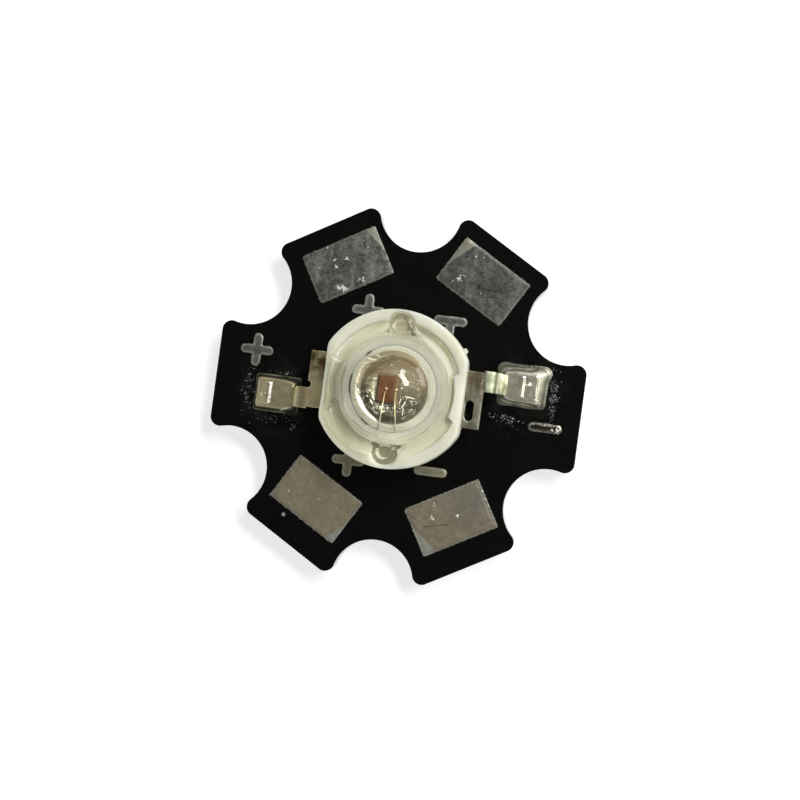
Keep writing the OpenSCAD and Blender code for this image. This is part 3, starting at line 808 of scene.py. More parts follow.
def stem_outline():
    """A stroke with a short stem below its middle."""
    half, foot = STROKE_WIDTH / 2, -STROKE_WIDTH / 2 - STEM_LENGTH
    stem = np.array([[-half, -half], [-half, foot], [half, foot], [half, -half]])
    return np.concatenate([bar_end(), -bar_end(), stem])


TIN_MARK = tin("tin_mark", (0.15, 0.153, 0.145), (0.36, 0.36, 0.335), (0.42, 0.42, 0.38), 0.42)
TIN_DARK = tin("tin_dark", (0.09, 0.092, 0.088), (0.26, 0.26, 0.245), (0.44, 0.445, 0.42), 0.42)
TIN_STAINED = tin("tin_stained", (0.3, 0.285, 0.2), (0.46, 0.44, 0.33), (0.46, 0.44, 0.34), 0.42)
TIN_BLOB = tin("tin_blob", (0.02, 0.019, 0.014), (0.3, 0.28, 0.22), (0.5, 0.48, 0.41), 0.3,
               flecks=[((8.3, -0.95), 0.24), ((8.05, -1.0), 0.22), ((7.0, -0.78), 0.2),
                       ((7.6, -0.74), 0.16)])
marks = {"plus_mark_left": (plus_outline(), TIN_MARK), "plus_mark_upper": (plus_outline(), TIN_MARK),
         "plus_mark_lower": (plus_outline(), TIN_STAINED), "minus_mark_right": (minus_outline(), TIN_BLOB),
         "minus_mark_upper": (stem_outline(), TIN_DARK), "minus_mark_lower": (minus_outline(), TIN_STAINED)}
for number, (name, (outline, material)) in enumerate(marks.items()):
    low, high = extent(name)
    middle = (low + high)[:2] / 2
    if "minus" in name:
        middle[1] = high[1] - STROKE_WIDTH / 2
    crown = BLOB_CROWN if name == "minus_mark_right" else MARK_CROWN
    outline = even_steps(outline, MARK_STEPS) + middle
    rings = tin_rings(outline, middle, 100 + 10 * number, crown, MARK_RAGGED)
    piece(name.replace("mark", "sign"), skin(rings), material, "tin", name, sharp_angle=60,
          values=edge_distance(rings, outline))

# %% [markdown]
# ## Rounded and turned profiles
# Turned pieces have a profile that is carried round an axis. A Screw modifier would turn one too, and a
# Bevel modifier would round its corners, but all by one amount. Here every corner gets a round of its
# own, as a short curve from one side to the next, worked out for all corners at once.

# %% Rounded and turned profiles
TURN_STEPS = 160
around = np.linspace(0, 2 * np.pi, TURN_STEPS, endpoint=False)


def rounded_profile(corners, sizes, steps=5):
    """A profile with its corners rounded: each is a curve that leaves one side and arrives on the next.

    corners has the shape (corner, ..., 2). A corner's point is blended with the points that lie its size
    away on both sides, by the weights (1-t)^2, 2t(1-t) and t^2.
    """
    sides = [np.roll(corners, shift, 0) - corners for shift in (1, -1)]
    spans = [np.maximum(np.linalg.norm(side, axis=-1, keepdims=True), 1e-9) for side in sides]
    size = np.asarray(sizes, float).reshape(-1, *([1] * (corners.ndim - 1)))
    start, end = (corners + side / span * np.minimum(size, 0.45 * span) for side, span in zip(sides, spans))
    t = np.linspace(0, 1, steps).reshape(-1, *([1] * corners.ndim))
    curve = start * (1 - t) ** 2 + corners * 2 * t * (1 - t) + end * t * t
    return np.moveaxis(curve, 0, 1).reshape(-1, *corners.shape[1:])


def turned_rings(profile):
    """Rings of a turned piece from the radius and height of each profile point."""
    r, z = profile[:, 0, None], profile[:, 1, None]
    return np.stack(np.broadcast_arrays(r * np.cos(around), r * np.sin(around), z), -1)


print("points round a turned piece:", len(around))

# %% [markdown]
# ## The heat slug and its cup
# A plated copper slug carries the chip in a small reflector cup. It is turned, so its profile is all that
# is needed: up the shoulder and the boss, over the rim and down into the cup. Cutting the cup with a
# Boolean would leave its corners sharp. A small round makes the bright line on the cup's rim, and a wide
# one between the wall and the floor makes the cup a bowl.

# %% Slug
slug_low, slug_high = extent("heat_slug")
slug_top = slug_high[2]
SLUG_FOOT, SLUG_SHOULDER, BOSS = 2.9, 2.3, 1.45
SHOULDER_Z, BOSS_Z = 2.5, 3.0
CUP_RIM, CUP_FLOOR, CUP_DEPTH = 1.225, 0.8, 0.5
CUP_LIP, LIP_DROP = 0.13, 0.065
cup_floor_z = slug_top - CUP_DEPTH
slug_corners = np.array([
    (0.02, slug_low[2]), (SLUG_FOOT, slug_low[2]), (SLUG_FOOT, SHOULDER_Z), (SLUG_SHOULDER, SHOULDER_Z),
    (SLUG_SHOULDER, BOSS_Z), (BOSS, BOSS_Z), (BOSS, slug_top), (CUP_RIM, slug_top),
    (CUP_RIM - CUP_LIP, slug_top - LIP_DROP), (CUP_FLOOR, cup_floor_z), (0.02, cup_floor_z)])
slug_rounds = [0, 0.06, 0.06, 0.03, 0.03, 0.03, 0.04, 0.03, 0.05, 0.26, 0]
slug_profile = rounded_profile(slug_corners, slug_rounds)[5:-4]
print("slug profile:", len(slug_profile), "points, cup floor at", np.round(cup_floor_z, 2), "mm")

# %% [markdown]
# ## The slug's plating
# The rim round the cup is pale and matt, and the cup is polished so that it throws the light out. Its
# upper half is painted tan and its lower half bright, as a painted reflection, and painted shade darkens
# its left side. It is scored and dimpled, and the scored lines are painted bright as glints. Painted
# highlights lie on the cup's lip, along its sides and as small dots. The rim is painted darker on the side
# away from the window, and near-black below its edge and in thin arcs at the gaps, as painted shade. A
# picture could be projected from above, but would smear down the walls, so bands, spots and strokes are
# set by their distance from the axis and their place.

# %% Slug finish and piece
# The first angle is where painted shade falls on the rim, away from the window; the next three aim the
# painted highlights on the cup's lip.
SHADE_SIDE, GLINT_SIDE, LEFT_GLINT, RIGHT_GLINT = 205, 222, 176, 12
GAPS = ((185, 18), (133, 5), (234, 7))
chip_low, chip_high = extent("led_die")
chip_middle = (chip_low + chip_high)[:2] / 2
# Scored lines in the cup, counted from the chip's middle and painted bright as glints.
CUP_SCRATCHES = [((0.47, -0.15), (0.86, -0.2), 0.03), ((0.42, -0.23), (0.37, -0.41), 0.024),
                 ((0.56, -0.29), (0.48, -0.5), 0.03), ((0.5, -0.57), (0.54, -0.77), 0.02),
                 ((-0.42, -0.3), (-0.28, -0.45), 0.03), ((-0.5, -0.38), (-0.4, -0.52), 0.03),
                 ((0.43, -0.43), (0.57, -0.63), 0.018), ((0.7, -0.24), (0.8, -0.42), 0.016),
                 ((0.87, -0.37), (0.98, -0.26), 0.018), ((0.54, -0.9), (0.64, -0.77), 0.018),
                 ((0.69, -0.65), (0.8, -0.51), 0.016), ((0.97, -0.58), (0.91, -0.75), 0.018)]
CUP_SHIFT = (-0.05, 0.06)
# Small dots of painted highlight in the cup: a place by the chip's middle and a radius.
CUP_GLINTS = [((0.9, 0.1), 0.045), ((0.0, 0.72), 0.04), ((-0.54, -0.12), 0.05), ((-0.44, 0.1), 0.035),
               ((0.8, -0.55), 0.035), ((-0.6, -0.3), 0.03), ((-0.35, -0.62), 0.035)]


def arc_mark(tree, radius, place_r, width, middle, half):
    """Mask of a thin arc round the axis: near its radius, and within half an angle of its middle."""
    forward, aside, _ = along_axes(tree, turn=-middle)
    fade = place_r * np.sin(np.radians([half + 2, half - 3]))
    within = spread(tree, math_node(tree, "ABSOLUTE", aside), *fade)
    ahead = times(tree, within, spread(tree, forward, 0.4 * place_r, 0.6 * place_r))
    return times(tree, ahead, spread(tree, off_from(tree, radius, place_r), width, 0.4 * width))


def slug_plating():
    """Plating: a pale matt rim with painted shade on one side and near-black painted shade below it and in
    its gaps, and a polished, scored cup with a painted reflection that is tan above and bright below,
    painted shade on its left and painted highlights.
    """
    material, tree, sockets = finish("slug_plating")
    radius = from_axis(tree)
    across, along, up = along_axes(tree)
    on_rim = spread(tree, spot(tree, CUP_SHIFT, CUP_RIM + 0.02, 0.033), 0, 1, 1.0, 0.0)
    # Painted reflection: the cup is painted tan above and bright below, for what the polished cup reflects;
    # painted shade darkens its left side.
    upper = spread(tree, along, -0.3, 0.3)
    left = spread(tree, across, 0.1, -0.8)
    stain = pattern(tree, MOTTLE, Scale=per_mm(1.6), Detail=4.0)
    fine = pattern(tree, MOTTLE, Scale=per_mm(14), Detail=5.0, Low=0.3, High=0.7)
    dimples = pattern(tree, SPECKS, Scale=per_mm(16), Size=0.5, Share=0.45)
    cuts = pattern(tree, SCRATCHES, Scale=per_mm(5), Width=0.03, Breaks=0.42)
    bright = tint(tree, fine, (0.25, 0.248, 0.175), (0.44, 0.432, 0.325))
    bright = tint(tree, left, bright, tint(tree, fine, (0.15, 0.157, 0.105), (0.3, 0.305, 0.215)))
    tan = tint(tree, left, tint(tree, stain, (0.7, 0.58, 0.37), (0.8, 0.69, 0.47)), (0.5, 0.44, 0.285))
    inside = tint(tree, upper, bright, tan)
    inside = tint(tree, cuts, inside, (0.9, 0.89, 0.78))
    # Painted shade: the rim is painted darker towards the side away from the window.
    dull = spread(tree, towards(tree, SHADE_SIDE), -0.3, 1.3)
    rim = tint(tree, dull, (0.62, 0.615, 0.49), (0.31, 0.308, 0.225))
    # Painted shade: the slug below its rim is painted near-black, and thin dark arcs are painted at the gaps
    # beside the rim.
    sunk_shade = spread(tree, up, slug_top - 0.02, slug_top - 0.08)
    rim = tint(tree, sunk_shade, rim, (0.012, 0.012, 0.009))
    hollow = sunk_shade
    for middle, half in GAPS:
        edge = arc_mark(tree, radius, BOSS - 0.015, 0.03, middle, half)
        hollow = greater(tree, hollow, edge)
        rim = tint(tree, edge, rim, (0.035, 0.033, 0.008))
    # Painted highlights: a bright crescent on the lip, thin lines at both sides, the scored lines and small
    # dots are painted pale and matt where the polished cup would catch the light.
    painted_light = spread(tree, towards(tree, GLINT_SIDE), 1.0, 1.07)
    painted_light = times(tree, painted_light, spread(tree, radius, CUP_RIM - 0.15, CUP_RIM - 0.11))
    thin = spread(tree, radius, CUP_RIM - 0.08, CUP_RIM - 0.05)
    left_glint = spread(tree, towards(tree, LEFT_GLINT), 1.06, 1.16)
    left_glint = times(tree, left_glint, spread(tree, fine, 0.4, 0.8, 0.0, 0.7))
    sides = greater(tree, left_glint, spread(tree, towards(tree, RIGHT_GLINT), 0.85, 1.0))
    painted_light = greater(tree, painted_light, times(tree, thin, sides))
    for start, end, width in CUP_SCRATCHES:
        painted_light = greater(tree, painted_light, stroke(tree, chip_middle + start, chip_middle + end, width))
    for middle, size in CUP_GLINTS:
        painted_light = greater(tree, painted_light, spot(tree, chip_middle + middle, size, 0.6))
    matt = greater(tree, on_rim, painted_light)
    inside = tint(tree, painted_light, inside, (0.95, 0.95, 0.82))
    feed(tree, sockets["Base Color"], tint(tree, on_rim, inside, rim))
    feed(tree, sockets["Metallic"], spread(tree, matt, 0, 1, 1.0, 0.0))
    smooth = spread(tree, upper, 0, 1, 0.2, 0.46)
    matt_part = times(tree, on_rim, spread(tree, hollow, 0, 1, 0.5, 1.0))
    feed(tree, sockets["Roughness"], greater(tree, smooth, matt_part))
    below = times(tree, dimples, spread(tree, upper, 0, 1, 1.0, 0.15))
    scored = relief(tree, below, 0.014 * MM, relief(tree, fine, 0.006 * MM))
    feed(tree, sockets["Normal"], relief(tree, cuts, 0.012 * MM, scored))
    return material


piece("slug", skin(turned_rings(slug_profile)), slug_plating(), "slug_plating", "heat_slug")

# %% [markdown]
# ## The white housing
# The moulded body is nearly turned: its profile goes round the axis, but the outer wall has two flats,
# and the recess for the lens has two keys and two pockets for its ears. Lens and recess follow the same
# outline with some play, so it is worked out once, as a distance from the axis at every angle. Walls that
# step sideways need closer angles there, so the row of angles is even with denser runs.

# %% Angles and shared outlines of lens and housing
house_low, house_high = extent("housing")
FLAT_X = house_high[0]
HOUSING_RADIUS, HOUSING_FOOT = 4.0, 3.8
FLANGE_RADIUS, KEYED_RADIUS, LENS_PLAY = 3.33, 2.93, 0.05
KEY_HALF_ANGLE = 21
SOFT_KEY_END = 180 + KEY_HALF_ANGLE
KEY_ENDS = (-KEY_HALF_ANGLE, KEY_HALF_ANGLE, 180 - KEY_HALF_ANGLE, SOFT_KEY_END)
EAR_MIDDLE, EAR_TIP, EAR_ROOT = 3.14, 0.66, 2.78
NUB_ANGLE = 36
dense = [np.radians(middle + np.linspace(-6, 6, 41)) for middle in KEY_ENDS]
dense += [np.radians(middle + np.linspace(-24, 24, 131)) for middle in (90, 270)]
dense += [np.radians(NUB_ANGLE + np.linspace(-5, 5, 25)) + 0.001]
even = np.linspace(0, 2 * np.pi, 420, endpoint=False)
angles = np.unique(np.round(np.concatenate([even, *dense]) % (2 * np.pi), 5))
print("angles around the emitter:", len(angles))


def angle_from(direction):
    """Angle away from a direction in degrees, always from 0 to 180."""
    return np.abs((np.degrees(angles) - direction + 180) % 360 - 180)


off_keys = np.minimum(angle_from(0), angle_from(180))
off_ears = np.minimum(angle_from(90), angle_from(270))


def with_flats(radius, sharpness=90):
    """Distance to a wall that is round except for two flats: a smooth least of the circle and two lines."""
    flat = FLAT_X / np.maximum(np.abs(np.cos(angles)), 1e-6)
    return (radius ** -float(sharpness) + flat ** -float(sharpness)) ** (-1.0 / sharpness)


def ear_reach(tip):
    """Distance along each ray to the far side of the ear's round tip, or 0 where the ray misses it."""
    off = np.radians(off_ears)
    inside = tip ** 2 - (EAR_MIDDLE * np.sin(off)) ** 2
    return np.where((inside > 0) & (off < 1), EAR_MIDDLE * np.cos(off) + np.sqrt(np.maximum(inside, 0)), 0)


def lens_edge(play, key_play):
    """Outline of the lens's flange, ears and keyed stretches, grown by a play for the recess around it."""
    ease = 1.2 + 4.8 * step(14, 8, angle_from(SOFT_KEY_END))
    keyed = step(KEY_HALF_ANGLE - ease, KEY_HALF_ANGLE + ease, off_keys + key_play)
    round_part = KEYED_RADIUS + play + (FLANGE_RADIUS - KEYED_RADIUS) * keyed
    return np.maximum(round_part, ear_reach(EAR_TIP + play))


# %% [markdown]
# ## The housing's body
# The profile starts at the slug's foot, goes up the outer wall, over the rim, down into the recess and
# back along the slug. Booleans could cut the recess and its pockets, but they leave ragged faces and
# sharp edges. Here each corner of the profile has a radius and a height at every angle, and a round of
# its own.

# %% Housing profile
lead_low, lead_high = extent("anode_lead")
lead_top = lead_high[2]
LEAD_THICKNESS = 0.3
lead_z = lead_top - LEAD_THICKNESS
rim_z = house_high[2]
lens_low, lens_high = extent("lens")
seat_z = lens_low[2]
DISH_RADIUS, STEP_RADIUS = 2.23, 1.95
NUB_HALF_WIDTH, NUB_REACH = 0.13, 0.15
LEAST = 0.004


def ring_of(radius, height):
    """One corner of the profile: its radius and height at every angle."""
    pair = [np.broadcast_to(np.asarray(value, float), angles.shape) for value in (radius, height)]
    return np.stack(pair, -1)


def gap_round_boss():
    """Gap between slug and plastic: open within half an angle of a few middles, and closed elsewhere."""
    openings = [step(half + 3, half - 3, angle_from(middle)) for middle, half in GAPS]
    return LEAST + 0.022 * np.max(openings, axis=0)


outer = with_flats(HOUSING_RADIUS)
foot = np.minimum(with_flats(HOUSING_FOOT), outer - 0.015)
off_nub = np.radians(angle_from(NUB_ANGLE)) * HOUSING_RADIUS
nub = outer + LEAST + NUB_REACH * step(NUB_HALF_WIDTH + 0.05, NUB_HALF_WIDTH - 0.05, off_nub)
recess = lens_edge(LENS_PLAY, 1.0) + 0.06 * step(KEY_HALF_ANGLE, KEY_HALF_ANGLE - 2, off_keys)
hole = BOSS + gap_round_boss()
slope = 0.2 * np.clip((HOUSING_RADIUS - outer) / (HOUSING_RADIUS - FLAT_X), 0, 1)
pocket = LEAST + 0.3 * step(22.5, 16, off_ears)
wing = EAR_ROOT + 0.03 + 0.22 * step(22, 10, off_ears)
pocket_out = np.minimum(recess - 0.02, np.maximum(ear_reach(EAR_TIP - 0.04), wing))
draft = 0.05 + 0.15 * step(70, 40, angle_from(SHADE_SIDE)) * step(18, 24, off_ears)
housing_corners = np.stack([ring_of(radius, height) for radius, height in (
    (SLUG_FOOT, house_low[2]), (foot, house_low[2]), (foot, lead_z), (nub, lead_z), (nub, lead_top),
    (outer, lead_top), (outer, rim_z - slope), (recess + draft, rim_z), (recess, seat_z),
    (pocket_out, seat_z - LEAST), (pocket_out - LEAST, seat_z - pocket), (EAR_ROOT, seat_z - pocket),
    (EAR_ROOT - LEAST, seat_z), (DISH_RADIUS, seat_z), (STEP_RADIUS + 0.01, seat_z - 0.02),
    (STEP_RADIUS - 0.01, seat_z - 0.06), (hole, slug_top), (hole, BOSS_Z), (SLUG_SHOULDER, BOSS_Z),
    (SLUG_SHOULDER, SHOULDER_Z), (SLUG_FOOT, SHOULDER_Z))])
housing_rounds = [0.02, 0.1, 0.03, 0.03, 0.03, 0.01, 0.14, 0.1, 0.06, 0.02, 0.05,
                  0.05, 0.02, 0.02, 0.01, 0.01, 0.02, 0, 0, 0, 0]
housing_profile = rounded_profile(housing_corners, housing_rounds)
depth_below_seat = np.where(housing_profile[..., 0] > EAR_ROOT - 0.02, seat_z - housing_profile[..., 1], 0)
in_pocket = step(0.02, 0.28, depth_below_seat) * (housing_profile[..., 1] > lead_top + 0.1)


def on_rays(profile):
    """Points in space from a radius and a height on the ray at each angle."""
    r, z = profile[..., 0], profile[..., 1]
    return np.stack([r * np.cos(angles), r * np.sin(angles), z], -1)


print("housing profile:", len(housing_profile), "points at each angle")

# %% [markdown]
# ## The housing's plastic
# The plastic is cream and cloudy. On the flat away from the window its outer rim is painted dull and
# dark as painted shade. Under the gel it is darker, painted shade makes it much darker towards the side
# away from the window, and painted light makes its wall pale on the window's side. Beside the gap at the
# slug it is painted near-black, and thin arcs of painted shadow lie at the dish's step. The pockets under
# the ears look tan. Vertex paint could mark all these zones. Here only the depth in the pockets is kept
# on the mesh, and the rest follows from the distance from the axis and the direction. Plastic lets some
# light in, so the finish has subsurface scattering.

# %% Housing finish and piece
# The window's direction, towards which the recess wall is painted pale as painted light.
LIT_SIDE = 40
DISH_LINES = ((53, 7), (131, 6), (307, 14))


def housing_plastic():
    """Cream moulding: cloudy, matt, with some dirt and tan under the ears, darker under the gel, with
    painted shade away from the window, painted light on the window's side and painted black shade at the
    slug.
    """
    material, tree, sockets = finish("housing_plastic", Subsurface_Weight=0.85, Subsurface_Scale=1.0 * MM,
                                     Subsurface_Radius=(1.0, 0.95, 0.7), IOR=1.5)
    cloud = pattern(tree, MOTTLE, Scale=per_mm(0.6), Detail=4.0)
    skin_grain = pattern(tree, MOTTLE, Scale=per_mm(11), Detail=3.0, Low=0.3, High=0.7)
    dirt = pattern(tree, SPECKS, Scale=per_mm(1.4), Size=0.05, Share=0.2)
    across, along, up = along_axes(tree)
    cream = tint(tree, cloud, (0.7, 0.705, 0.58), (0.8, 0.805, 0.68))
    radius = from_axis(tree)
    lean = towards(tree, SHADE_SIDE)
    # Painted shade: on the flat away from the window the outer rim is painted a dull dark tone.
    inner = times(tree, spread(tree, radius, 3.95, 3.6), spread(tree, across, -3.5, -3.3))
    shaded_cream = tint(tree, cloud, (0.31, 0.31, 0.215), (0.37, 0.37, 0.265))
    cream = tint(tree, times(tree, inner, spread(tree, lean, 2.0, 3.0)), cream, shaded_cream)
    # The recess under the gel is darker, and painted shade makes it much darker towards the side away from
    # the window.
    facing = math_node(tree, "DIVIDE", lean, radius)
    wetted = tint(tree, spread(tree, facing, 0.3, 0.95), (0.6, 0.6, 0.47), (0.17, 0.17, 0.105))
    in_recess = times(tree, spread(tree, radius, 3.4, 2.95), spread(tree, up, rim_z - 0.02, rim_z - 0.12))
    # Painted light: the recess wall on the window's side is painted pale.
    lit_side = math_node(tree, "DIVIDE", towards(tree, LIT_SIDE), radius)
    pale = times(tree, spread(tree, lit_side, 0.86, 0.96), spread(tree, radius, 2.75, 3.05, 0.15, 1.0))
    wetted = tint(tree, pale, wetted, (0.93, 0.93, 0.85))
    cream = tint(tree, in_recess, cream, wetted)
    under_ear = tint(tree, spread(tree, along, -1.0, 1.0), (0.27, 0.255, 0.17), (0.5, 0.465, 0.345))
    cream = tint(tree, share_of(tree), cream, under_ear)
    # Painted shade: the plastic beside the gap at the slug is painted near-black.
    sunk_shade = times(tree, spread(tree, radius, BOSS + 0.09, BOSS + 0.07),
                 spread(tree, up, slug_top - 0.02, slug_top - 0.08))
    cream = tint(tree, sunk_shade, cream, (0.016, 0.015, 0.005))
    for middle, half in DISH_LINES:
        shadow = arc_mark(tree, radius, STEP_RADIUS + 0.07, 0.04, middle, half)
        cream = tint(tree, shadow, cream, (0.16, 0.15, 0.085))
    feed(tree, sockets["Base Color"], tint(tree, dirt, cream, (0.3, 0.27, 0.2)))
    matt = greater(tree, spread(tree, skin_grain, 0, 1, 0.34, 0.5), sunk_shade)
    feed(tree, sockets["Roughness"], matt)
    feed(tree, sockets["Normal"], relief(tree, skin_grain, 0.005 * MM))
    return material


piece("emitter_body", tube_skin(on_rays(housing_profile)), housing_plastic(), "housing_plastic", "housing",
      sharp_angle=50, values=in_pocket.ravel())

# %% [markdown]
# ## Bent tails
# Each lead is a strip of plated sheet: a broad part at the housing and a narrow tail that bends down to
# the board. A curve object with a bevel profile could give the tail; here its rounded section is carried
# along the bent path in one array, which also takes small dents.

# %% Tails
BROAD_REACH = 4.45
TAIL_Y, TAIL_WIDTH = 1.0, 1.07
BEND_RADIUS, LEG_ANGLE = 0.35, 80
BEND_X = 4.67
foot_z = tin_bottom + 0.07 + LEAD_THICKNESS / 2
tip_x = -lead_low[0]


def tail_path():
    """Middle line of a tail in X and Z: level run, bend down, sloping leg, bend level and foot."""
    lean = math.radians(LEG_ANGLE)
    drop = BEND_RADIUS * (1 - math.cos(lean))
    level = lead_z + LEAD_THICKNESS / 2
    leg = (level - foot_z - 2 * drop) / math.sin(lean)
    foot_x = BEND_X + 2 * BEND_RADIUS * math.sin(lean) + leg * math.cos(lean)
    upper = arc((BEND_X, level - BEND_RADIUS), BEND_RADIUS, 90, 90 - LEG_ANGLE, 16)
    lower = arc((foot_x, foot_z + BEND_RADIUS), BEND_RADIUS, 270 - LEG_ANGLE, 270, 16)
    leg_run = upper[-1] + (lower[0] - upper[-1]) * np.linspace(0, 1, 14)[1:-1, None]
    run = np.column_stack([np.linspace(BROAD_REACH - 0.08, BEND_X, 5)[:-1], np.full(4, level)])
    end = np.column_stack([np.linspace(foot_x, tip_x, 18)[1:], np.full(17, foot_z)])
    return np.concatenate([run, upper, leg_run, lower, end])


def strip_along(path, middle_y, width, thickness, dent):
    """A strip carried along a path: its rounded section stands on the path's normal and on Y."""
    section = rounded_box(thickness - 0.006, width, 0.05, steps=5)
    along = np.gradient(path, axis=0)
    along /= np.hypot(*along.T)[:, None]
    up = np.stack([-along[:, 1], along[:, 0]], 1)
    across = middle_y + section[:, 1] + np.zeros((len(path), 1))
    lift = section[:, 0] + dent * waves(path[:, :1] * np.ones_like(across), across * 0.8, 0.55, 5)
    x = path[:, :1] + up[:, :1] * lift
    z = path[:, 1:] + up[:, 1:] * lift
    return skin(np.stack([x, across, z], -1))


path = tail_path()
print("tail from", np.round(path[0], 2), "to", np.round(path[-1], 2), "mm along X and Z")

# %% [markdown]
# ## Stamped plates and posts
# The broad part is stamped: one has a slot, the other a round nick beside its tail. A Boolean could cut
# them, but its edges stay sharp. So the plate is rings from the slot or a middle point out to the outline
# and round its edge, and the stamped edges are soft and catch light. Inside the housing a curved post
# carries the wire's end.

# %% Broad parts and posts
BROAD_INSIDE, BROAD_HALF_WIDTH = 2.9, 1.45
SLOT_X, SLOT_Y, SLOT_WIDTH, SLOT_LENGTH = 3.86, -0.56, 0.42, 1.02
NICK_RADIUS = 0.17
POST_IN = 1.75


def box_reach(directions, start, low, high):
    """Distance along each ray from a point inside a rectangle to its edge."""
    c, s = np.cos(directions), np.sin(directions)
    x = np.where(c > 0, high[0] - start[0], low[0] - start[0]) / np.where(np.abs(c) < 1e-9, 1e-9, c)
    y = np.where(s > 0, high[1] - start[1], low[1] - start[1]) / np.where(np.abs(s) < 1e-9, 1e-9, s)
    return np.minimum(x, y)


def nicked(directions, reach, start, nick):
    """The same reach, cut short where a ray meets the round nick first."""
    to = np.array(nick) - start
    ahead = to[0] * np.cos(directions) + to[1] * np.sin(directions)
    inside = NICK_RADIUS ** 2 - (to @ to - ahead ** 2)
    met = ahead - np.sqrt(np.maximum(inside, 0))
    return np.where((inside > 0) & (ahead > 0), np.minimum(reach, met), reach)


def plate_ring(reach, directions, start, inset, height):
    """Ring of points given by rays from a middle point, drawn in by an inset, at a height."""
    ray = np.stack([np.cos(directions), np.sin(directions)], 1)
    return np.column_stack([start + (reach - inset)[:, None] * ray, np.full(len(directions), height)])


def slot_reach(directions):
    """Distance along each ray from the slot's middle to its wall: two straight sides and two round ends."""
    half, side = SLOT_LENGTH / 2 - SLOT_WIDTH / 2, SLOT_WIDTH / 2
    c, s = np.abs(np.cos(directions)), np.abs(np.sin(directions))
    straight = side / np.maximum(c, 1e-6)
    end = half * s + np.sqrt(np.maximum(side ** 2 - (half * c) ** 2, 0))
    return np.where(straight * s <= half, straight, end)


def broad_part(slotted):
    """Broad plate: rings run from its slot or middle over the top, round the edge and back underneath."""
    start = np.array([SLOT_X, SLOT_Y]) if slotted else np.array([3.7, 0.1])
    low, high = np.array([BROAD_INSIDE, -BROAD_HALF_WIDTH]), np.array([BROAD_REACH, BROAD_HALF_WIDTH])
    corners = [math.atan2(y - start[1], x - start[0]) for x in (low[0], high[0]) for y in (low[1], high[1])]
    nick = (BROAD_REACH, TAIL_WIDTH / 2 + NICK_RADIUS - TAIL_Y)
    near = np.radians(np.linspace(-14, 14, 41)) + math.atan2(nick[1] - start[1], nick[0] - start[0])
    fan = np.unique(np.round(np.concatenate([np.linspace(-np.pi, np.pi, 140)[:-1], corners, near]), 5))
    reach = box_reach(fan, start, low, high)
    top, bottom = lead_top, lead_z
    edge = [(0.07, top), (0.03, top - 0.008), (0.008, top - 0.03), (0, top - 0.08), (0, bottom + 0.05),
            (0.02, bottom + 0.01), (0.05, bottom)]
    if slotted:
        slot = slot_reach(fan)
        lip = [(0.02, bottom), (0, bottom + 0.03), (0, top - 0.06), (0.015, top - 0.01), (0.045, top),
               (0.12, top)]
        rings = [plate_ring(reach, fan, start, inset, z) for inset, z in edge]
        return tube_skin(np.stack(rings + [plate_ring(slot, fan, start, -inset, z) for inset, z in lip]))
    reach = nicked(fan, reach, start, nick)
    rings = [plate_ring(reach * share, fan, start, 0, top) for share in (0.04, 0.6)]
    rings += [plate_ring(reach, fan, start, inset, z) for inset, z in edge]
    return skin(np.stack(rings + [plate_ring(reach * 0.04, fan, start, 0, bottom)]))


def bond_post():
    """Curved post that carries a wire's end: a flat strip on a quarter ring."""
    bearing = np.radians(np.linspace(-86, 8, 30))
    section = rounded_box(LEAD_THICKNESS - 0.02, 0.48, 0.03, steps=3)
    r = POST_IN + 0.25 + section[:, 1]
    z = lead_z + LEAD_THICKNESS / 2 + section[:, 0] + np.zeros((len(bearing), 1))
    return skin(np.stack([r * np.cos(bearing)[:, None], r * np.sin(bearing)[:, None], z], -1))


print("points of the slotted and nicked plates:", [len(broad_part(slotted)[0]) for slotted in (True, False)])

# %% [markdown]
# ## Lead finish
# Thin plating over copper tarnishes unevenly: the tail and the plate differ in tone, and brown stains
# spread from one side. On the bright lead the tail is painted much paler than its plate, as painted light,
# and a line of painted shade runs along its bend. Vertex colours could mark the zones, but they would be
# as coarse as the mesh, so the zones come from the place on the part, and noise breaks up their edges.
# Both leads share one function and have tones of their own.

# %% Lead finish and pieces


def lead_plating(name, plate, tail, stain, stained_from, rough_tail=0.0, leg=None):
    """Thin plating: a pair of tones on the plate and one on the tail, brown stains and fine scratches.

    stained_from is where along Y the stains begin, rough_tail makes the tail duller, and leg is a stroke of
    painted shade along the tail's bend, given by its two ends and its width.
    """
    material, tree, sockets = finish(name, Metallic=1.0)
    patches = pattern(tree, MOTTLE, Scale=per_mm(1.1), Detail=5.0)
    blotch = pattern(tree, MOTTLE, Scale=per_mm(1.6), Detail=6.0, Low=0.4, High=0.58)
    grain = pattern(tree, MOTTLE, Scale=per_mm(9), Detail=3.0, Low=0.3, High=0.7)
    cuts = pattern(tree, SCRATCHES, Scale=per_mm(3), Width=0.01, Breaks=0.52)
    across, along, _ = along_axes(tree)
    on_tail = spread(tree, math_node(tree, "ABSOLUTE", across), BROAD_REACH - 0.05, BROAD_REACH + 0.15)
    on_plate = spread(tree, on_tail, 1.0, 0.0)
    beyond = times(tree, on_plate, spread(tree, along, stained_from - 0.2, stained_from + 0.2))
    metal = tint(tree, on_tail, tint(tree, patches, *plate), tint(tree, blotch, *tail))
    metal = tint(tree, times(tree, blotch, beyond), metal, stain)
    # Painted shade: a darker stroke along the tail's bend.
    if leg:
        metal = tint(tree, stroke(tree, *leg), metal, (0.2, 0.23, 0.13))
    feed(tree, sockets["Base Color"], tint(tree, cuts, metal, (0.8, 0.78, 0.66)))
    matt = times(tree, on_tail, rough_tail)
    feed(tree, sockets["Roughness"], plus(tree, spread(tree, grain, 0, 1, 0.28, 0.4), matt))
    feed(tree, sockets["Normal"], relief(tree, grain, 0.003 * MM))
    return material


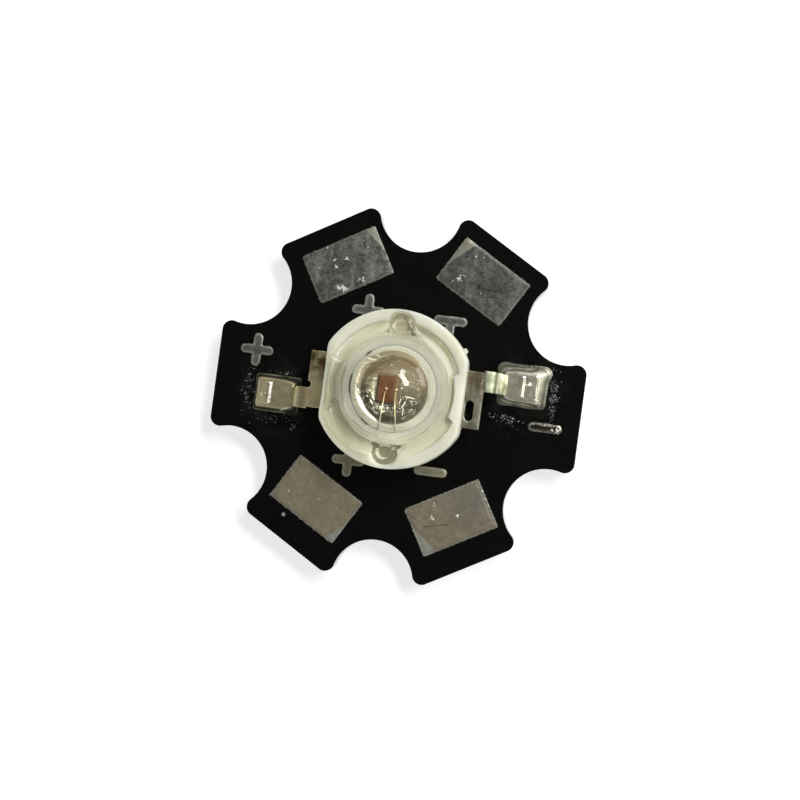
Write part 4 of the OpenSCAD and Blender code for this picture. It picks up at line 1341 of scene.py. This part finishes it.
LEAD_WARM = lead_plating(
    "lead_warm", plate=((0.52, 0.44, 0.265), (0.64, 0.55, 0.335)),
    tail=((0.43, 0.375, 0.22), (0.5, 0.435, 0.26)), stain=(0.13, 0.095, 0.045), stained_from=0.05)
# Painted light: the bright lead's tail is painted much paler than its plate, where it catches the window,
# and its leg stroke is painted shade.
LEAD_BRIGHT = lead_plating(
    "lead_bright", plate=((0.27, 0.255, 0.19), (0.48, 0.47, 0.38)),
    tail=((0.46, 0.49, 0.32), (0.9, 0.92, 0.72)), stain=(0.2, 0.165, 0.105), stained_from=-0.1,
    rough_tail=0.16, leg=((4.99, 0.2), (4.99, 1.8), 0.1))


def whole_lead(side, slotted, dent):
    """Tail, broad part and post of a lead, drawn for the minus side and mirrored in X for the plus side."""
    tail = strip_along(path, side * TAIL_Y, TAIL_WIDTH, LEAD_THICKNESS, dent)
    points, faces = joined(tail, broad_part(slotted), bond_post())
    return points * (side, 1, 1), (faces if side > 0 else [face[::-1] for face in faces])


piece("lead_minus", whole_lead(1, True, 0.014), LEAD_BRIGHT, "lead_plating", "cathode_lead", sharp_angle=50)
piece("lead_plus", whole_lead(-1, False, 0.004), LEAD_WARM, "lead_plating", "anode_lead", sharp_angle=50)

# %% [markdown]
# ## Soldered feet
# Solder wets the pad up to the mask, climbs the foot and sets with a nearly flat top. Sculpting could
# shape it, but not in numbers that can be read and changed. So the joint is rings again: a thin film at
# the pad's outline, a hollow fillet, a shoulder and the top, which narrows towards the tail. A crease in
# the top has one flank that leans towards the window, and that flank shows as a white bar, which a
# stroke of painted highlight whitens further.

# %% Joint shapes
JOINT_STEPS = 300
LEAD_PAD_X, LEAD_PAD_Y, PAD_CORNER = 2.35, 1.9, 0.14
SOLDER_TOP = foot_z + LEAD_THICKNESS / 2 + 0.06
SIDE_SHARES = np.linspace(0.04, 1, 16)
TOP_SHARES = np.linspace(0.99, 0.02, 64)


def joint_top_outline(tip):
    """Top of the mound: broad at the tip, drawn in to the tail's width at the other end."""
    corners = np.array([(tip, -0.7), (tip, 0.7), (-0.35, 0.72), (-0.88, 0.57), (-0.88, -0.57),
                        (-0.35, -0.72)])
    return even_steps(rounded_profile(corners, [0.12, 0.12, 0.15, 0.1, 0.1, 0.15]), JOINT_STEPS)


def crease(x, place_x, rise, flank=0.15):
    """Height along X: a gentle ramp up to a line, and a straight flank down from it that faces +X."""
    return rise * (step(place_x - 0.55, place_x, x) - np.clip((x - place_x) / flank, 0, 1))


def solder_joint(side, seed, crease_x, rise, tip, spill):
    """Rings from the pad's outline up a hollow fillet to the mound's top, and in to its middle.

    crease_x and rise place the crease, and tip is how far out the top reaches. spill is how far the foot of
    the fillet runs out over the mask, which is furthest on the side of +Y.
    """
    pad = even_steps(rounded_box(LEAD_PAD_X, LEAD_PAD_Y, PAD_CORNER), JOINT_STEPS)
    top = joint_top_outline(tip)
    top = np.roll(top, -np.argmin(np.hypot(*(top - pad[0]).T)), 0)
    reach = spill * (0.35 + 0.65 * step(0.3, 0.9, pad[:, 1])) * (1 + 0.14 * waves(*pad.T, 1.7, seed + 2))
    foot_line = pad + outward_normals(pad) * reach[:, None]
    rings = [np.column_stack([pad, np.full(JOINT_STEPS, z)]) for z in (tin_bottom, board_top - 0.01)]
    begin = 0.45 - spill * step(0.4, 0.9, pad[:, 0])
    for share in SIDE_SHARES:
        climb = 0.06 * np.minimum(share / begin, 1) + 0.94 * step(begin, 1.0, share)
        height = board_top + 0.012 + climb * (SOLDER_TOP - board_top - 0.04)
        rings.append(np.column_stack([foot_line + (top - foot_line) * share, height]))
    for share in TOP_SHARES:
        x, y = (top * share).T
        bent = crease(side * x, crease_x, rise) * step(0.62, 0.5, np.abs(y))
        plain = step(0.2, 0.5, np.abs(side * x - crease_x))
        uneven = plain * (0.01 * waves(x, y, 1.1, seed) + 0.003 * waves(x, y, 0.4, seed + 1))
        height = SOLDER_TOP - 0.028 + 0.02 * step(1, 0.88, share) + (uneven + bent) * step(1.0, 0.9, share)
        rings.append(np.column_stack([x, y, height]))
    points, faces = skin(np.stack(rings))
    return points * (side, 1, 1) + joint_middle * (side, side, 0), faces


def climb_values():
    """How far each point of a joint has climbed: 0 on the film at the pad's edge and 1 on the top."""
    rows = np.concatenate([[0, 0], SIDE_SHARES, np.ones(len(TOP_SHARES))])
    return np.concatenate([np.repeat(rows, JOINT_STEPS), [0, 1]])


print("solder stands", np.round(SOLDER_TOP - board_top, 2), "mm above the mask")

# %% [markdown]
# ## Solder finish
# One joint is bright and the other is warm and dull. Both are dark at the foot, where the film is thin
# and flux covers it. Height alone could part these zones, but the fillet is steep, so each point keeps
# how far up its ring lies, and the finish reads that. A clear coat stands for the flux.

# %% Solder finish and joints


def solder(name, dark, light, line, film, wetted, matt, dot, bare):
    """Set solder under flux: darker on the film and fillet, warm and smooth on top, with pits, a bead and
    strokes of painted highlight.

    line and film are pairs of tones at the foot of the fillet and above it, and wetted is between which
    heights the top's tones take over. matt makes the fillet duller, dot is the bead's place, and bare is a
    list of strokes of painted highlight.
    """
    material, tree, sockets = finish(name, Metallic=1.0, Coat_Weight=0.5, Coat_Roughness=0.08)
    patches = pattern(tree, MOTTLE, Scale=per_mm(1.3), Detail=4.0)
    soft = pattern(tree, MOTTLE, Scale=per_mm(2.5), Detail=2.0, Low=0.3, High=0.7)
    pits = pattern(tree, SPECKS, Scale=per_mm(3), Size=0.07, Share=0.2)
    up = share_of(tree)
    below = tint(tree, spread(tree, up, 0.24, 0.34), tint(tree, patches, *line), tint(tree, patches, *film))
    metal = tint(tree, spread(tree, up, *wetted), below, tint(tree, patches, dark, light))
    # Strokes of painted highlight.
    for mark in bare:
        metal = tint(tree, stroke(tree, *mark), metal, (1.0, 0.98, 0.88))
    feed(tree, sockets["Base Color"], tint(tree, pits, metal, (0.12, 0.1, 0.07)))
    side = times(tree, spread(tree, up, 0.999, 0.96), matt)
    feed(tree, sockets["Roughness"], plus(tree, spread(tree, soft, 0, 1, 0.2, 0.32), side))
    bead = relief(tree, spot(tree, dot, 0.15, 1.0), 0.06 * MM, relief(tree, soft, 0.003 * MM))
    feed(tree, sockets["Normal"], bead)
    return material


SOLDER_BRIGHT = solder(
    "solder_bright", dark=(0.78, 0.76, 0.6), light=(0.95, 0.93, 0.79),
    line=((0.19, 0.188, 0.15), (0.34, 0.337, 0.27)), film=((0.09, 0.09, 0.065), (0.4, 0.4, 0.33)),
    wetted=(0.35, 0.75), matt=0.1, dot=(6.55, 1.15), bare=[((5.26, 1.57), (5.56, 1.91), 0.06)])
# Painted highlights: bright strokes at the neck and along the crease's lit flank of the warm joint.
glint_middle = -joint_middle[:2] - (0.32, 0)
SOLDER_WARM = solder(
    "solder_warm", dark=(0.66, 0.58, 0.37), light=(0.84, 0.755, 0.51),
    line=((0.06, 0.058, 0.038), (0.26, 0.25, 0.18)), film=((0.014, 0.014, 0.009), (0.06, 0.058, 0.04)),
    wetted=(0.6, 0.95), matt=0.4, dot=(-6.95, -1.09),
    bare=[((-6.01, -1.83), (-5.53, -1.6), 0.07), (glint_middle + (0, 0.62), glint_middle - (0, 0.62), 0.12)])
right_joint = solder_joint(1, seed=31, crease_x=-0.03, rise=0.042, tip=0.76, spill=0.26)
left_joint = solder_joint(-1, seed=41, crease_x=-0.4, rise=0.059, tip=1.0, spill=0.04)
piece("joint_minus", right_joint, SOLDER_BRIGHT, "solder", "cathode_solder", sharp_angle=60,
      values=climb_values())
piece("joint_plus", left_joint, SOLDER_WARM, "solder", "anode_solder", sharp_angle=60,
      values=climb_values())

# %% [markdown]
# ## The chip
# The chip is a small block of crystal with softened edges, dark red-brown under the gel. A cube with a
# Bevel modifier would do, but rings up its sides and in over its top use the helpers that are there.
# Bands of a wave texture stand for the fine contact fingers on its top.

# %% Chip


def chip():
    """Chip block: rings up its sides, round its top edge and in to the middle."""
    size = chip_high - chip_low
    outline = even_steps(rounded_box(size[0], size[1], 0.04), 80)
    top = chip_high[2]
    levels = [(1.0, chip_low[2]), (1.0, top - 0.03), (0.985, top - 0.008), (0.95, top), (0.5, top)]
    return skin(ride_up(outline + chip_middle, levels, chip_middle))


def chip_finish():
    """Dark red-brown crystal with faint contact fingers, a blotchy skin and a painted lit right edge."""
    material, tree, sockets = finish("chip", IOR=1.3)
    tone = pattern(tree, MOTTLE, Scale=per_mm(5), Detail=4.0)
    fingers = node(tree, "ShaderNodeTexWave", wave_type="BANDS", bands_direction="X")
    feed(tree, fingers.inputs["Vector"], place(tree))
    feed(tree, fingers.inputs["Scale"], per_mm(1.6))
    line = spread(tree, fingers.outputs[0], 0.93, 1.0)
    red = tint(tree, tone, (0.115, 0.046, 0.016), (0.155, 0.068, 0.025))
    # Painted light: the chip's right edge is painted a paler tan, as its lit side.
    painted_light = spread(tree, along_axes(tree)[0], chip_high[0] - 0.16, chip_high[0] - 0.04)
    red = tint(tree, painted_light, red, (0.2, 0.14, 0.075))
    feed(tree, sockets["Base Color"], tint(tree, times(tree, line, 0.25), red, (0.22, 0.14, 0.08)))
    feed(tree, sockets["Roughness"], spread(tree, tone, 0, 1, 0.3, 0.45))
    feed(tree, sockets["Normal"], relief(tree, line, 0.004 * MM))
    return material


piece("chip", chip(), chip_finish(), "chip", "led_die")

# %% [markdown]
# ## Bond wires
# Two gold wires leave the chip's top, arch over the cup's rim and come down on the posts. A curve object
# with a round bevel would draw them too. Here a circle is carried along a cubic curve, whose four control
# points are the ball, two points above, and the post, so both ends meet their places.

# %% Bond wires
WIRE_RADIUS = 0.02
BALL_RADIUS = 0.055
BOND_MIDDLE, BOND_HALF_SPAN = -0.13, 0.15
wire_low, wire_high = extent("cathode_bond_wire")
wire_top = wire_high[2]


def cubic(points, count):
    """Cubic curve from four control points, by their Bernstein weights."""
    t = np.linspace(0, 1, count)[:, None]
    weights = [(1 - t) ** 3, 3 * t * (1 - t) ** 2, 3 * t * t * (1 - t), t ** 3]
    return sum(w * np.array(p) for w, p in zip(weights, points))


def wire(side):
    """Ball on the chip and a round wire: a circle carried on the curve's own side and upper directions."""
    start = np.array([BOND_MIDDLE + side * BOND_HALF_SPAN, 0, chip_high[2]])
    end = np.array([side * wire_high[0], wire_low[1] + 0.03, lead_top])
    run = (end - start) * (1, 1, 0)
    curve = cubic([start, start + 0.1 * run + (0, 0, 1.35 * (wire_top - start[2])),
                   end - 0.25 * run + (0, 0, wire_top - lead_top), end], 60)
    along = np.gradient(curve, axis=0)
    along /= np.linalg.norm(along, axis=1, keepdims=True)
    sideways = np.cross(run / np.linalg.norm(run), (0, 0, 1))
    upper = np.cross(np.broadcast_to(sideways, along.shape), along)
    turn = np.linspace(0, 2 * np.pi, 12, endpoint=False)
    circle = np.cos(turn)[:, None] * sideways + np.sin(turn)[:, None] * upper[:, None]
    rings = curve[:, None] + WIRE_RADIUS * circle
    fall = np.linspace(0.03, np.pi - 0.03, 9)
    r, z = BALL_RADIUS * np.sin(fall)[:, None], 0.04 * np.cos(fall)[:, None]
    ball = np.broadcast_arrays(start[0] + r * np.cos(turn), start[1] + r * np.sin(turn), start[2] + 0.03 + z)
    return joined(skin(rings), skin(np.stack(ball, -1)[::-1]))


def gold():
    """Drawn gold wire, bright with a little unevenness, and coated pale by gel past the cup."""
    material, tree, sockets = finish("bond_gold")
    tone = pattern(tree, MOTTLE, Scale=per_mm(10))
    far = spread(tree, along_axes(tree)[1], -0.85, -1.05)
    bright = tint(tree, tone, (0.82, 0.66, 0.4), (0.95, 0.85, 0.62))
    feed(tree, sockets["Base Color"], tint(tree, far, bright, (0.44, 0.435, 0.33)))
    feed(tree, sockets["Metallic"], spread(tree, far, 0, 1, 1.0, 0.0))
    feed(tree, sockets["Roughness"], spread(tree, tone, 0, 1, 0.18, 0.3))
    feed(tree, sockets["Normal"], relief(tree, tone, 0.002 * MM))
    return material


GOLD = gold()
piece("wire_minus", wire(1), GOLD, "bond_wire", "cathode_bond_wire")
piece("wire_plus", wire(-1), GOLD, "bond_wire", "anode_bond_wire")

# %% [markdown]
# ## The clear dome
# Lens and gel are optically one clear body, so one closed skin stands for both: two skins that touch
# would show a false edge. Half a sphere joined to a disc would leave a seam, so the skin is rings that
# run from the top of the dome over the flange and its ears, back underneath, and then just inside the
# plastic and the slug. So no film of air is left over the chip. Each ear has a fill hole.

# %% Dome
DOME_RADIUS = 2.8
dome_z = lens_high[2] - DOME_RADIUS
FLANGE_TOP = 4.55
HOLE_RADIUS = 0.32
BITE = 0.03


def flange_relief(x, y):
    """Height added to the flange's top: a groove at the dome, and pads, lips and holes on the ears."""
    to_hole = np.hypot(x, np.abs(y) - EAR_MIDDLE)
    groove = 0.03 * np.exp(-((np.hypot(x, y) - 2.88) / 0.03) ** 2)
    half = 1.02 - 0.62 * (np.abs(y) - 2.75)
    pad = step(0.03, -0.03, np.abs(x) - half) * step(2.7, 2.8, np.abs(y))
    lip = 0.09 * np.exp(-((to_hole - 0.45) / 0.09) ** 2)
    hole_depth = 0.36 * step(HOLE_RADIUS + 0.05, HOLE_RADIUS - 0.05, to_hole)
    return pad * (0.045 + lip) - hole_depth - groove * (1 - pad)


def dome_rings():
    """Radius and height at every angle, from the dome's top to the middle of the cup's floor."""
    edge = lens_edge(0, 0)
    dome_foot = math.degrees(math.acos((FLANGE_TOP - dome_z) / DOME_RADIUS))
    fall = np.radians(np.linspace(1.5, dome_foot - 0.8, 44))
    rings = [ring_of(DOME_RADIUS * math.sin(a), dome_z + DOME_RADIUS * math.cos(a)) for a in fall]
    inner = DOME_RADIUS + 0.02
    for share in np.linspace(0, 1, 34):
        r = inner + (edge - 0.05 - inner) * share
        rings.append(ring_of(r, FLANGE_TOP + flange_relief(r * np.cos(angles), r * np.sin(angles))))
    under = seat_z + 0.025
    for inset, z in ((0.02, FLANGE_TOP - 0.01), (0, FLANGE_TOP - 0.04), (0, under + 0.04), (0.03, under)):
        rings.append(ring_of(edge - inset, z))
    gel_side = [(DISH_RADIUS + 0.05, under), (DISH_RADIUS + 0.02, seat_z - BITE),
                (STEP_RADIUS, seat_z - 0.06 - BITE), (BOSS, slug_top - BITE),
                (CUP_RIM + 0.03, slug_top - BITE), (CUP_FLOOR + 0.04, cup_floor_z - BITE),
                (0.3, cup_floor_z - BITE)]
    rings += [ring_of(r, z) for r, z in gel_side]
    return np.stack(rings)


def clear(name, tone):
    """Clear moulding: light passes and bends, and rays from lamps go straight on to what is inside."""
    material, tree, sockets = finish(name, Base_Color=tone, Transmission_Weight=1.0, IOR=1.47)
    ripple = pattern(tree, MOTTLE, Scale=per_mm(0.5), Detail=2.0)
    smear = pattern(tree, SPECKS, Scale=per_mm(1.2), Size=0.05, Share=0.25)
    feed(tree, sockets["Roughness"], spread(tree, smear, 0, 1, 0.0, 0.25))
    feed(tree, sockets["Normal"], relief(tree, ripple, 0.002 * MM))
    shader = tree.nodes["Principled BSDF"].outputs[0]
    through = node(tree, "ShaderNodeBsdfTransparent")
    through.inputs["Color"].default_value = (0.96, 0.96, 0.93, 1)
    mix = node(tree, "ShaderNodeMixShader")
    feed(tree, mix.inputs[0], node(tree, "ShaderNodeLightPath").outputs["Is Shadow Ray"])
    feed(tree, mix.inputs[1], shader)
    feed(tree, mix.inputs[2], through.outputs[0])
    feed(tree, tree.nodes["Material Output"].inputs["Surface"], mix.outputs[0])
    return material


CLEAR = clear("clear_lens", (0.97, 0.97, 0.93))
piece("clear_dome", skin(on_rays(dome_rings())), CLEAR, "lens", "lens", "silicone_fill", sharp_angle=30)

# %% [markdown]
# ## Flux droplets
# Flux spits as the joint is soldered, and sets as small glassy droplets around the two pads. They are
# flat caps of many sizes. Scattered instances would do, but each droplet would be an object. So all of
# them are worked out at once: one grid for a droplet, repeated over an array of places and sizes that a
# seeded draw gives, of which those that would lie beside the board are dropped.

# %% Droplets
DROP_RINGS, DROP_SIDES = 5, 10


def on_board(places, margin=0.25):
    """Which places lie inside the star: nearer to its middle than the outline is in the same direction."""
    out = star - plate_middle
    bearing = np.arctan2(out[:, 1], out[:, 0])
    order = np.argsort(bearing)
    away = places - plate_middle
    heading = np.arctan2(away[:, 1], away[:, 0])
    limit = np.interp(heading, bearing[order], np.hypot(*out.T)[order], period=2 * np.pi)
    return np.hypot(*away.T) < limit - margin


def droplets(places, radii):
    """Flat caps at many places: radius r cos(a), height 0.4 r sin(a) above the mask."""
    rise = np.linspace(0, 0.46 * np.pi, DROP_RINGS)[None, :, None]
    turn = np.linspace(0, 2 * np.pi, DROP_SIDES, endpoint=False)[None, None, :]
    r = radii[:, None, None]
    x = places[:, 0, None, None] + r * np.cos(rise) * np.cos(turn)
    y = places[:, 1, None, None] + r * np.cos(rise) * np.sin(turn)
    z = board_top - 0.004 + 0.4 * r * np.sin(rise) + 0 * turn
    return joined(*[skin(rings) for rings in np.stack([x, y, z], -1)])


def flux_places(seed, zones, size):
    """Seeded places and radii about a usual size. A zone is a middle, a spread in X and Y, and a count."""
    draw = np.random.default_rng(seed)
    places = np.concatenate([np.array(middle) + draw.normal(0, 1, (count, 2)) * spread_xy
                             for middle, spread_xy, count in zones])
    radii = draw.lognormal(math.log(size), 0.6, len(places)).clip(0.014, 0.1)
    kept = on_board(places)
    return places[kept], radii[kept]


def flux_finish():
    """Set flux: dark glassy resin on the black mask, with a little waviness."""
    material, tree, sockets = finish("flux_resin", IOR=1.6, Specular_IOR_Level=1.0)
    tone = pattern(tree, MOTTLE, Scale=per_mm(3))
    feed(tree, sockets["Base Color"], tint(tree, tone, (0.002, 0.002, 0.0015), (0.006, 0.006, 0.004)))
    feed(tree, sockets["Roughness"], spread(tree, tone, 0, 1, 0.05, 0.14))
    feed(tree, sockets["Normal"], relief(tree, tone, 0.006 * MM))
    return material


FLUX = flux_finish()
plus_zones = [((-7.85, -0.9), (0.16, 0.7), 80), ((-6.3, -2.3), (0.8, 0.14), 46),
              ((-6.4, 0.12), (0.7, 0.05), 26), ((-5.25, -2.55), (0.08, 0.1), 18)]
minus_zones = [((7.85, 0.6), (0.12, 0.65), 170), ((5.9, -0.75), (0.75, 0.2), 50),
               ((6.6, 2.1), (0.6, 0.05), 40), ((5.6, -0.6), (0.25, 0.08), 26)]
piece("flux_plus", droplets(*flux_places(3, plus_zones, 0.021)), FLUX, None)
piece("flux_minus", droplets(*flux_places(4, minus_zones, 0.028)), FLUX, None)

# %% [markdown]
# ## Camera
# The camera looks down on the board, a few degrees from upright and turned a little, from about 94 mm
# away with a long lens. Its place and turn are plain numbers, counted from the emitter's axis. A
# constraint that aims it would be shorter, but would not hold the small roll of the picture.

# %% Camera
CAMERA_PLACE = (10.83, -1.36, 93.48)
CAMERA_TURN = (1.449, 6.523, 7.789)
CAMERA_LENS = 81.0
camera_data = bpy.data.cameras.new("camera")
camera_data.lens = CAMERA_LENS
camera_data.sensor_width = 36.0
camera_data.clip_start = 0.001
camera = bpy.data.objects.new("camera", camera_data)
camera.location = (np.array(CAMERA_PLACE) + AXIS) * MM
camera.rotation_euler = [math.radians(a) for a in CAMERA_TURN]
bpy.context.scene.collection.objects.link(camera)
bpy.context.scene.camera = camera
print("camera at", CAMERA_PLACE, "mm")

# %% [markdown]
# ## Light
# A window to the upper right is the main light: two strips side by side, so that the dome shows a broken,
# window-like highlight. A lower window on that side lights the upright walls, and a weak, broad lamp
# opposite lifts the shadows. A sun lamp would draw hard shadows and tiny highlights; area lights are
# soft, as a window is.

# %% Lights
LIGHT_DISTANCE = 0.28


def window(name, heading, lean, width, height, power, shift=(0, 0)):
    """A soft area light aimed at the part: heading round from +X and lean from upright, in degrees."""
    data = bpy.data.lights.new(name, "AREA")
    data.shape = "RECTANGLE"
    data.size, data.size_y = width, height
    data.energy = power
    data.color = (1.0, 0.995, 0.96)
    light = bpy.data.objects.new(name, data)
    a, b = math.radians(heading), math.radians(lean)
    out = np.array([math.sin(b) * math.cos(a), math.sin(b) * math.sin(a), math.cos(b)])
    right = np.array([-math.sin(a), math.cos(a), 0])
    upper = np.cross(out, right)
    light.location = out * LIGHT_DISTANCE + right * shift[0] + upper * shift[1]
    light.rotation_euler = (0, b, a)
    bpy.context.scene.collection.objects.link(light)
    print(f"{name}: {power} W at {heading} degrees")


window("window_tall", 40, 34, 0.05, 0.13, 0.37)
window("window_side", 40, 34, 0.05, 0.05, 0.1, shift=(0.07, -0.03))
window("window_low", 30, 70, 0.05, 0.16, 0.14)
window("room_fill", 200, 50, 0.3, 0.3, 0.05)

# %% [markdown]
# ## Room and floor
# Metal shows what is around it, so the room matters as much as the lamps: it is pale near the horizon,
# more so on the window's side, and dim overhead. A picture of a room could be wrapped round the scene,
# but two ramps are enough. The floor is white, and still takes the part's shadow.

# %% Room and floor


def room():
    """World that is dim overhead and pale near the horizon, more so on the window's side: two ramps."""
    world = bpy.data.worlds.new("room")
    world.use_nodes = True
    tree = world.node_tree
    parts = node(tree, "ShaderNodeSeparateXYZ")
    feed(tree, parts.inputs[0], node(tree, "ShaderNodeTexCoord").outputs["Generated"])
    height = spread(tree, parts.outputs["Z"], 0.05, 0.75)
    horizon = tint(tree, spread(tree, parts.outputs["X"], -0.7, 0.7), (0.75, 0.75, 0.72), (1.05, 1.05, 1.02))
    feed(tree, tree.nodes["Background"].inputs["Color"], tint(tree, height, horizon, (0.2, 0.2, 0.185)))
    bpy.context.scene.world = world


def floor_finish():
    """White floor that keeps shadows: a pale surface, lifted to white for the rays that show it."""
    material, tree, _ = finish("floor_white", Base_Color=(0.6, 0.6, 0.6), Roughness=0.9)
    rays = node(tree, "ShaderNodeLightPath")
    seen = greater(tree, rays.outputs["Is Camera Ray"], rays.outputs["Is Glossy Ray"])
    seen = greater(tree, seen, rays.outputs["Is Transmission Ray"])
    glow = node(tree, "ShaderNodeEmission")
    feed(tree, glow.inputs["Strength"], spread(tree, seen, 0, 1, 0.0, 0.6))
    both = node(tree, "ShaderNodeAddShader")
    feed(tree, both.inputs[0], tree.nodes["Principled BSDF"].outputs[0])
    feed(tree, both.inputs[1], glow.outputs[0])
    feed(tree, tree.nodes["Material Output"].inputs["Surface"], both.outputs[0])
    return material


FLOOR_HALF, FLOOR_DROP = 2.0, 0.02 * MM
floor_mesh = bpy.data.meshes.new("floor")
floor_corners = np.array([(-1, -1, 0), (1, -1, 0), (1, 1, 0), (-1, 1, 0)]) * FLOOR_HALF - (0, 0, FLOOR_DROP)
floor_mesh.from_pydata(floor_corners.tolist(), [], [(0, 1, 2, 3)])
floor_mesh.materials.append(floor_finish())
floor = bpy.data.objects.new("floor", floor_mesh)
bpy.context.scene.collection.objects.link(floor)
room()
bpy.context.scene.view_settings.view_transform = "Standard"
print("floor, room and", len(bpy.data.lights), "lights")
